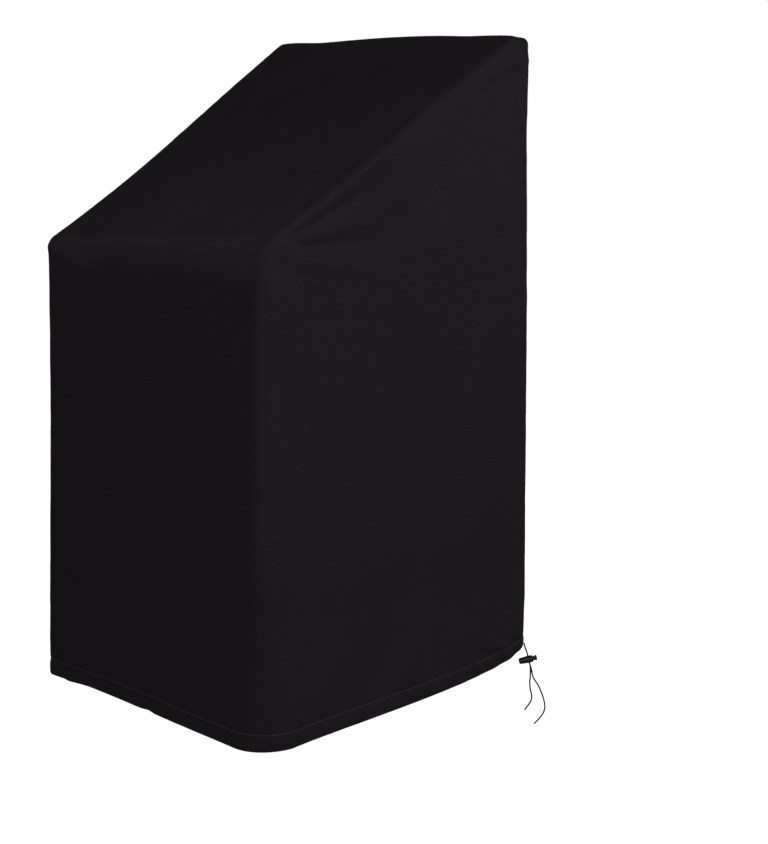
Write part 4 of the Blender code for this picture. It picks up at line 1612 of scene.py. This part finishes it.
# ---------------------------------------------------------------- drawcord and cord lock
@dataclass(frozen=True)
class Tie:
    """Where the two free ends of the drawcord and their lock hang."""

    hang: Hang
    cord: float = 0.0030
    pitch: float = 0.0033
    turn: float = math.radians(45.5)
    tilt: float = math.radians(13.3)
    exit_height: float = 0.005
    clearance: float = 0.0003
    shared_route: tuple[tuple[float, float], ...] = (
        (-0.0094, 0.0325),
        (-0.0084, 0.0280),
        (-0.0066, 0.0220),
        (-0.0044, 0.0160),
    )
    through_lock: tuple[float, ...] = (-0.0105, -0.0050, 0.0, 0.0050, 0.0105)

    def axes(self) -> tuple[Vector, Vector, Vector]:
        """Right, up and towards the viewer."""
        right = Vector((math.cos(self.turn), math.sin(self.turn), 0.0))
        up = Vector((0.0, 0.0, 1.0))
        return right, up, right.cross(up)

    def lock_middle(self) -> Vector:
        """The cord lock's middle, from the place where the cord leaves the hem."""
        right, up, _ = self.axes()
        shape = self.hang.shape
        exit_z = shape.hem_z + self.exit_height
        at = stations(np.array([shape.back_y]), exit_z, 1.0, 0.0, 0.0)
        middle, _, outward = self.hang.seam_frame(at, Side.RIGHT, is_fine=False)
        leaves = Vector(middle[0] + outward[0] * (self.cord / 2 + self.clearance))
        return leaves - right * self.shared_route[0][0] - up * self.shared_route[0][1]

    def route(self, free_end: Sequence[Point], toward: int) -> list[Vector]:
        """The points that one cord end passes.

        Args:
            free_end: The points below the lock: right, up and towards the viewer of its middle.
            toward: 1 for the end nearer the viewer, -1 for the other.

        Returns:
            The points, from the hem to the tip.
        """
        right, up, viewer = self.axes()
        middle = self.lock_middle()
        beside = toward * self.pitch / 2
        sideways, down = math.sin(self.tilt), math.cos(self.tilt)
        places = [(x, z, beside) for x, z in self.shared_route]
        places += [(s * sideways, -s * down, beside) for s in self.through_lock]
        places += list(free_end)
        return [middle + right * x + up * z + viewer * t for x, z, t in places]


@dataclass
class DrawcordEnd:
    """One free end of the drawcord: a braided cord with a heat-sealed tip."""

    tie: Tie
    name: str
    toward: int
    free_end: tuple[Point, ...]
    sides: int = 32
    strands: int = 8
    strand_relief: float = 0.00007
    strand_pitch: float = 0.0011
    ring_step: float = 0.0003
    declared_step: int = 16
    tip: float = 0.0022
    least_tip: float = 0.02

    def build(self, material: Material) -> None:
        """Build the cord end and say what it is.

        Args:
            material: The braid's material.
        """
        path = smooth_line(self.tie.route(self.free_end, self.toward), self.ring_step)
        places = np.array(path)
        lengths = running_length(places)
        tangent = unit(np.gradient(places, axis=0))
        side = self.carried_side(tangent)
        up = np.cross(tangent, side)
        angle = np.linspace(0.0, math.tau, self.sides, endpoint=False)[None, :]
        ring = np.cos(angle)[..., None] * side[:, None] + np.sin(angle)[..., None] * up[:, None]
        radius = self.radius(lengths[:, None], angle)
        points = places[:, None] + ring * radius[..., None]
        row = np.arange(len(path) - 1)[:, None, None] + np.array((0, 0, 1, 1))
        column = np.arange(self.sides)[None, :, None] + np.array((0, 1, 1, 0))
        quads = (row * self.sides + column % self.sides).reshape(-1, 4)
        around = rows(column * (math.pi * self.tie.cord / self.sides), lengths[row])
        start, end = points[..., 0].size, points[..., 0].size + 1
        last = start - self.sides
        caps = [(b, a, start) for a, b in pairwise([*range(self.sides), 0])]
        caps += [(last + a, last + b, end) for b, a, _ in caps]
        mesh = bpy.data.meshes.new(self.name + "_braid")
        vertices = np.concatenate([points.reshape(-1, 3), places[[0, -1]]])
        mesh.from_pydata(vertices, [], quads.tolist() + caps)
        mesh.shade_smooth()
        mesh.materials.append(material)
        add_uv(mesh, np.concatenate([around.reshape(-1, 2), np.zeros((3 * len(caps), 2))]))
        piece = new_object(mesh.name, mesh)
        dress(piece, Body.COVER, Slot.CORD)
        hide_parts(self.name)
        tuple(path[0])
        [tuple(point) for point in (*path[: -1 : self.declared_step], path[-1])]

    def carried_side(self, tangent: Array) -> Array:
        """A sideways direction at each point, carried along the cord without twist.

        Args:
            tangent: The cord's direction at each point.

        Returns:
            The sideways directions.
        """
        side = Vector(tangent[0]).orthogonal().normalized()
        sides = []
        for way in map(Vector, tangent):
            side = (side - way * side.dot(way)).normalized()
            sides.append(side)
        return np.array(sides)

    def radius(self, along: Array, angle: Array) -> Array:
        """The braid's radius: strands that cross on two helices, and a rounded, melted tip.

        Args:
            along: The length from the hem, as a column.
            angle: The angle round the cord, as a row.

        Returns:
            The radius at each length and angle.
        """
        turn = math.tau * along / (self.strand_pitch * self.strands)
        left = np.sin(self.strands / 2 * (angle + turn))
        right = np.sin(self.strands / 2 * (angle - turn))
        weave = mix(np.abs(left), np.abs(right), smooth(left * right * 2 + 0.5))
        to_end = along.max() - along
        sealed = smooth(1 - to_end / self.tip)
        full = self.tie.cord / 2 - self.strand_relief * (1 - weave * (1 - sealed))
        rounding = np.clip(1 - to_end / (self.tie.cord / 2), 0, 1)
        return full * np.sqrt(np.clip(1 - rounding**2, self.least_tip, 1))


@dataclass
class CordLock:
    """A turned barrel and its sprung button, on one axis, with a cross hole for both cord ends."""

    tie: Tie
    sides: int = 72
    gap: float = 0.0003
    bore_radius: float = 0.0049
    bore_floor: float = -0.0165
    mouth: float = 0.0085
    bevel: float = 0.0004
    travel: float = 0.004
    spring_room: float = 0.0011
    stem_bevel: float = 0.0005
    cord_room: float = 0.00035
    hole_round: float = 0.0009
    hole_steps: int = 6
    cutter_length: float = 0.03
    profile_step: float = 0.0004
    same_point: float = 0.00001
    sharp: float = math.radians(32)
    rim_radius: float = 0.0057
    shoulder_radius: float = 0.0061
    shoulder_drop: float = 0.00015
    barrel_outside: tuple[tuple[float, float], ...] = (
        (0.0064, 0.0078),
        (0.0069, 0.0045),
        (0.0072, 0.0010),
        (0.0070, -0.0035),
        (0.0065, -0.0090),
        (0.0061, -0.0145),
        (0.0056, -0.0176),
        (0.0042, -0.0193),
        (0.0000, -0.0198),
    )
    button_head: tuple[tuple[float, float], ...] = (
        (0.0000, 0.0039),
        (0.0032, 0.0037),
        (0.0047, 0.0030),
        (0.0053, 0.0018),
        (0.0052, 0.0006),
        (0.0048, 0.0000),
    )

    def holder(self) -> Matrix:
        """Where the lock lies: its axis is the local Z and the cords run along the local X."""
        right, up, _ = self.tie.axes()
        axis = right * math.cos(self.tie.tilt) + up * math.sin(self.tie.tilt)
        through = right * math.sin(self.tie.tilt) - up * math.cos(self.tie.tilt)
        turn = Matrix((through, axis.cross(through), axis)).transposed()
        return Matrix.Translation(self.tie.lock_middle()) @ turn.to_4x4()

    def eased(self, profile: Sequence[tuple[float, float]]) -> list[tuple[float, float]]:
        """A smooth curve through a profile's points."""
        route = [Vector((radius, 0.0, height)) for radius, height in profile]
        line = smooth_line(route, self.profile_step)
        return [(max(point.x, 0.0), point.z) for point in line]

    def barrel_profile(self) -> list[tuple[float, float]]:
        """From the bore's floor up the bore, over the rim and down the swelling outside."""
        bore, floor, mouth, bevel = self.bore_radius, self.bore_floor, self.mouth, self.bevel
        inside = [(0.0, floor), (bore - bevel, floor), (bore, floor + bevel), (bore, mouth - bevel)]
        lip = [(bore + 0.3 * bevel, mouth - 0.3 * bevel), (bore + bevel, mouth)]
        rim = [(self.rim_radius, mouth), (self.shoulder_radius, mouth - self.shoulder_drop)]
        return inside + lip + rim + self.eased(self.barrel_outside)

    def button_profile(self) -> list[tuple[float, float]]:
        """From the head's crown down its rim and the stem to the foot."""
        head_foot = self.mouth + self.travel + self.gap
        foot = self.bore_floor + self.travel + self.spring_room
        stem = self.bore_radius - self.gap
        head = [(radius, head_foot + height) for radius, height in self.eased(self.button_head)]
        shaft = [(stem, head_foot - self.bevel / 4), (stem, foot + self.stem_bevel)]
        return head + shaft + [(stem - self.stem_bevel, foot), (0.0, foot)]

    def turned(self, name: str, profile: Sequence[tuple[float, float]]) -> Object:
        """A solid of revolution about the local Z axis.

        Args:
            name: The object's name.
            profile: Radius and height of each point of its outline.

        Returns:
            The object.
        """
        form = bmesh.new()
        line = [form.verts.new((radius, 0.0, height)) for radius, height in profile]
        edges = [form.edges.new(pair) for pair in pairwise(line)]
        turn = {"cent": (0, 0, 0), "axis": (0, 0, 1), "angle": math.tau, "steps": self.sides}
        bmesh.ops.spin(form, geom=line + edges, use_merge=True, **turn)
        bmesh.ops.remove_doubles(form, verts=form.verts, dist=self.same_point)
        bmesh.ops.recalc_face_normals(form, faces=form.faces)
        return finished_form(name, form)

    def cross_cutter(self, low: float, high: float) -> Object:
        """A bar with rounded edges along the local X axis, which cuts the cords' way.

        Args:
            low: How far below the cords' middle it starts, along the lock's axis.
            high: How far above it ends.

        Returns:
            The bar.
        """
        width = self.tie.pitch + self.tie.cord + 2 * self.cord_room
        form = bmesh.new()
        bmesh.ops.create_cube(form, size=1.0)
        bmesh.ops.scale(form, verts=form.verts, vec=(self.cutter_length, width, high - low))
        bmesh.ops.translate(form, verts=form.verts, vec=(0.0, 0.0, (low + high) / 2))
        ends = [(edge, *(corner.co.x for corner in edge.verts)) for edge in form.edges]
        long_edges = [edge for edge, start, end in ends if abs(start - end) > width]
        shape = {
            "offset": self.hole_round,
            "segments": self.hole_steps,
            "profile": 0.5,
            "affect": "EDGES",
        }
        bmesh.ops.bevel(form, geom=long_edges, **shape)
        return finished_form("cords way", form)

    def finished(self, piece: Object, cutter: Object) -> None:
        """Cut the cords' way out of a turned piece and put it in its place.

        Args:
            piece: The turned piece.
            cutter: What cuts it, which is used up.
        """
        boolean = piece.modifiers.new("cords way", "BOOLEAN")
        boolean.operation = "DIFFERENCE"
        boolean.object = cutter
        boolean.solver = "EXACT"
        mesh = plain_mesh(piece, piece.name)
        mesh.transform(self.holder())
        mesh.shade_smooth()
        mesh.set_sharp_from_angle(angle=self.sharp)
        bpy.data.objects.remove(cutter, do_unlink=True)
        piece.modifiers.clear()
        piece.data = mesh

    def build(self, material: Material) -> None:
        """Build the barrel and the button, and say what they are.

        Args:
            material: The plastic.
        """
        half = self.tie.cord / 2 + self.cord_room
        pieces = (
            ("lock_barrel", self.barrel_profile(), half, Body.COVER),
            ("lock_button", self.button_profile(), half + self.travel, Body.BUTTON),
        )
        for node, profile, high, body in pieces:
            piece = self.turned(node + "_moulding", profile)
            self.finished(piece, self.cross_cutter(-half, high))
            piece.data.materials.clear()
            piece.data.materials.append(material)
            dress(piece, body, Slot.LOCK)
            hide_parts(node)


# ---------------------------------------------------------------- studio
@dataclass(frozen=True)
class Softbox:
    """A large soft light, by its direction from the cover, its distance, size and power."""

    name: str
    azimuth: float
    elevation: float
    distance: float
    size: float
    power: float

    def build(self, target: Vector) -> None:
        """Hang the light so that it faces the target."""
        azimuth, elevation = math.radians(self.azimuth), math.radians(self.elevation)
        level = math.cos(elevation)
        away = Vector((math.sin(azimuth) * level, -math.cos(azimuth) * level, math.sin(elevation)))
        light = bpy.data.lights.new(self.name, "AREA")
        light.size = self.size
        light.energy = self.power
        lamp = bpy.data.objects.new(self.name, light)
        lamp.location = target + away * self.distance
        lamp.rotation_euler = away.to_track_quat("Z", "Y").to_euler()
        bpy.context.scene.collection.objects.link(lamp)


@dataclass(frozen=True)
class Studio:
    """Pale floor, white surround, soft lights and the camera at the photograph's angle."""

    white: tuple[float, float, float, float] = (1.0, 0.997, 1.0, 1.0)
    floor_z: float = -1.41
    floor_radius: float = 30.0
    floor_sides: int = 96
    floor_finish: Finish = Finish("pale floor", (0.30, 0.30, 0.30), roughness=0.9, specular=0.0)
    near_glow: float = 0.96
    far_glow: float = 1.02
    near_reach: float = 0.8
    far_reach: float = 2.6
    unseen_glow: float = 0.10
    surround: float = 0.12
    camera_place: Point = (2.220, -2.213, -0.2768)
    camera_azimuth: float = 45.54
    camera_pitch: float = 8.86
    focal_pixels: float = 1549.4
    picture_height: float = 844.0
    sensor: float = 36.0
    light_target: Point = (0.0, -0.3, -0.5)
    lights: tuple[Softbox, ...] = (
        Softbox("key", 50.0, 19.0, distance=3.0, size=1.9, power=88.0),
        Softbox("rim", 128.0, 15.0, distance=3.4, size=1.8, power=46.0),
        Softbox("left", -60.0, 34.0, distance=3.6, size=2.2, power=8.0),
        Softbox("back", 215.0, 9.0, distance=3.6, size=2.0, power=24.0),
    )

    def build(self) -> None:
        """Build the camera, the floor, the surround and the lights."""
        self.camera()
        self.floor()
        self.world()
        for light in self.lights:
            light.build(Vector(self.light_target))
        bpy.context.scene.view_settings.view_transform = "Standard"

    def camera(self) -> None:
        """The camera, upright and without shift."""
        lens = bpy.data.cameras.new("camera")
        lens.sensor_width = self.sensor
        lens.lens = self.focal_pixels * self.sensor / self.picture_height
        camera = bpy.data.objects.new("camera", lens)
        camera.location = self.camera_place
        upright = math.radians(90 - self.camera_pitch)
        camera.rotation_euler = (upright, 0, math.radians(self.camera_azimuth))
        bpy.context.scene.collection.objects.link(camera)
        bpy.context.scene.camera = camera

    def floor(self) -> None:
        """A wide pale floor that glows a little, so that only soft shade shows on it."""
        form = bmesh.new()
        size = {"segments": self.floor_sides, "radius": self.floor_radius}
        bmesh.ops.create_circle(form, cap_ends=True, **size)
        bmesh.ops.translate(form, verts=form.verts, vec=(0.0, 0.0, self.floor_z))
        piece = finished_form("floor", form)
        material, graph, shader = self.floor_finish.shader()
        values = {0: graph.own_place(), 1: (1.0, 1.0, 0.0)}
        flat = graph.add("ShaderNodeVectorMath", values, operation="MULTIPLY").outputs[0]
        away = graph.add("ShaderNodeVectorMath", {0: flat}, operation="LENGTH").outputs["Value"]
        farther = graph.ramp(away, self.near_reach, self.far_reach)
        more = graph.math("MULTIPLY", farther, self.far_glow - self.near_glow)
        glow = graph.math("ADD", more, self.near_glow)
        shader.inputs["Emission Color"].default_value = self.white
        graph.feed(shader.inputs["Emission Strength"], self.as_seen(graph, glow, self.unseen_glow))
        piece.data.materials.append(material)
        piece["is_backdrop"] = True

    def world(self) -> None:
        """A surround that is white where the camera sees it and softer as a light."""
        world = bpy.data.worlds.new("surround")
        world.use_nodes = True
        graph = Graph(world.node_tree)
        background = world.node_tree.nodes["Background"]
        background.inputs["Color"].default_value = self.white
        graph.feed(background.inputs["Strength"], self.as_seen(graph, 1.0, self.surround))
        bpy.context.scene.world = world

    def as_seen(self, graph: Graph, seen: Value, unseen: float) -> NodeSocket:
        """A strength that differs between what the camera sees and what lights the cover.

        Args:
            graph: The tree that needs it.
            seen: The strength that the camera sees.
            unseen: The strength as a light.

        Returns:
            The strength's socket.
        """
        by_camera = graph.add("ShaderNodeLightPath").outputs["Is Camera Ray"]
        more = graph.math("MULTIPLY", by_camera, graph.math("SUBTRACT", seen, unseen))
        return graph.math("ADD", more, unseen)


# ---------------------------------------------------------------- the whole cover
CLOTH_FINISH = ClothFinish(
    "black woven cloth", colour=(0.0087, 0.0069, 0.0087), roughness=0.60, specular=0.04
)
# The thread's colour is light partly as a painted highlight: it stands in for the light that the
# hem's stitched ridge catches.
THREAD_FINISH = ThreadFinish(
    "charcoal thread", colour=(0.042, 0.039, 0.043), roughness=0.75, specular=0.25
)
BRAID_FINISH = BraidFinish(
    "black braid", colour=(0.0042, 0.0037, 0.0042), roughness=0.8, specular=0.05
)
PLASTIC_FINISH = PlasticFinish(
    "black moulded plastic", colour=(0.0035, 0.0033, 0.0036), roughness=0.55, specular=0.14
)

# The free ends of the drawcord below the lock: right, up and towards the viewer of its middle.
SHORT_END = (
    (0.0036, -0.0190, 0.0017),
    (0.0036, -0.0277, 0.0014),
    (0.0034, -0.0376, 0.0014),
    (0.0026, -0.0465, 0.0020),
    (0.0037, -0.0592, 0.0030),
    (0.0058, -0.0680, 0.0032),
    (0.0068, -0.0773, 0.0028),
    (0.0046, -0.0856, 0.0022),
    (-0.0003, -0.0939, 0.0012),
    (-0.0068, -0.1038, 0.0000),
)
LONG_END = (
    (0.0052, -0.0190, -0.0018),
    (0.0072, -0.0277, -0.0016),
    (0.0097, -0.0376, -0.0016),
    (0.0150, -0.0460, -0.0022),
    (0.0200, -0.0540, -0.0032),
    (0.0243, -0.0640, -0.0042),
    (0.0285, -0.0745, -0.0052),
    (0.0322, -0.0872, -0.0058),
    (0.0339, -0.0989, -0.0060),
    (0.0322, -0.1080, -0.0054),
    (0.0278, -0.1160, -0.0044),
    (0.0209, -0.1244, -0.0034),
    (0.0127, -0.1326, -0.0020),
)


def main() -> None:
    """Build the studio, the drawcord with its lock, and the cloth."""
    logging.basicConfig(level=logging.INFO, format="%(name)s: %(message)s")
    Studio().build()
    effects = Effects()
    cloth = CLOTH_FINISH.material(effects)
    thread = THREAD_FINISH.material()
    braid = BRAID_FINISH.material(effects)
    plastic = PLASTIC_FINISH.material()

    hang = Hang(FittedShape())
    tie = Tie(hang)
    DrawcordEnd(tie, "drawcord_short", toward=1, free_end=SHORT_END).build(braid)
    DrawcordEnd(tie, "drawcord_long", toward=-1, free_end=LONG_END).build(braid)
    CordLock(tie).build(plastic)
    stitching = HemStitches(thread)
    CentreStrip(hang).build(cloth, stitching)
    SidePanel(hang, Side.RIGHT, step=0.0043).build(cloth, stitching)
    SidePanel(hang, Side.LEFT, step=0.0070).build(cloth, stitching)

    boxes = {"cad": cad_box, "visual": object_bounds()}
    {name: [list(corner) for corner in box] for name, box in boxes.items()}


if __name__ == "__main__":
    main()
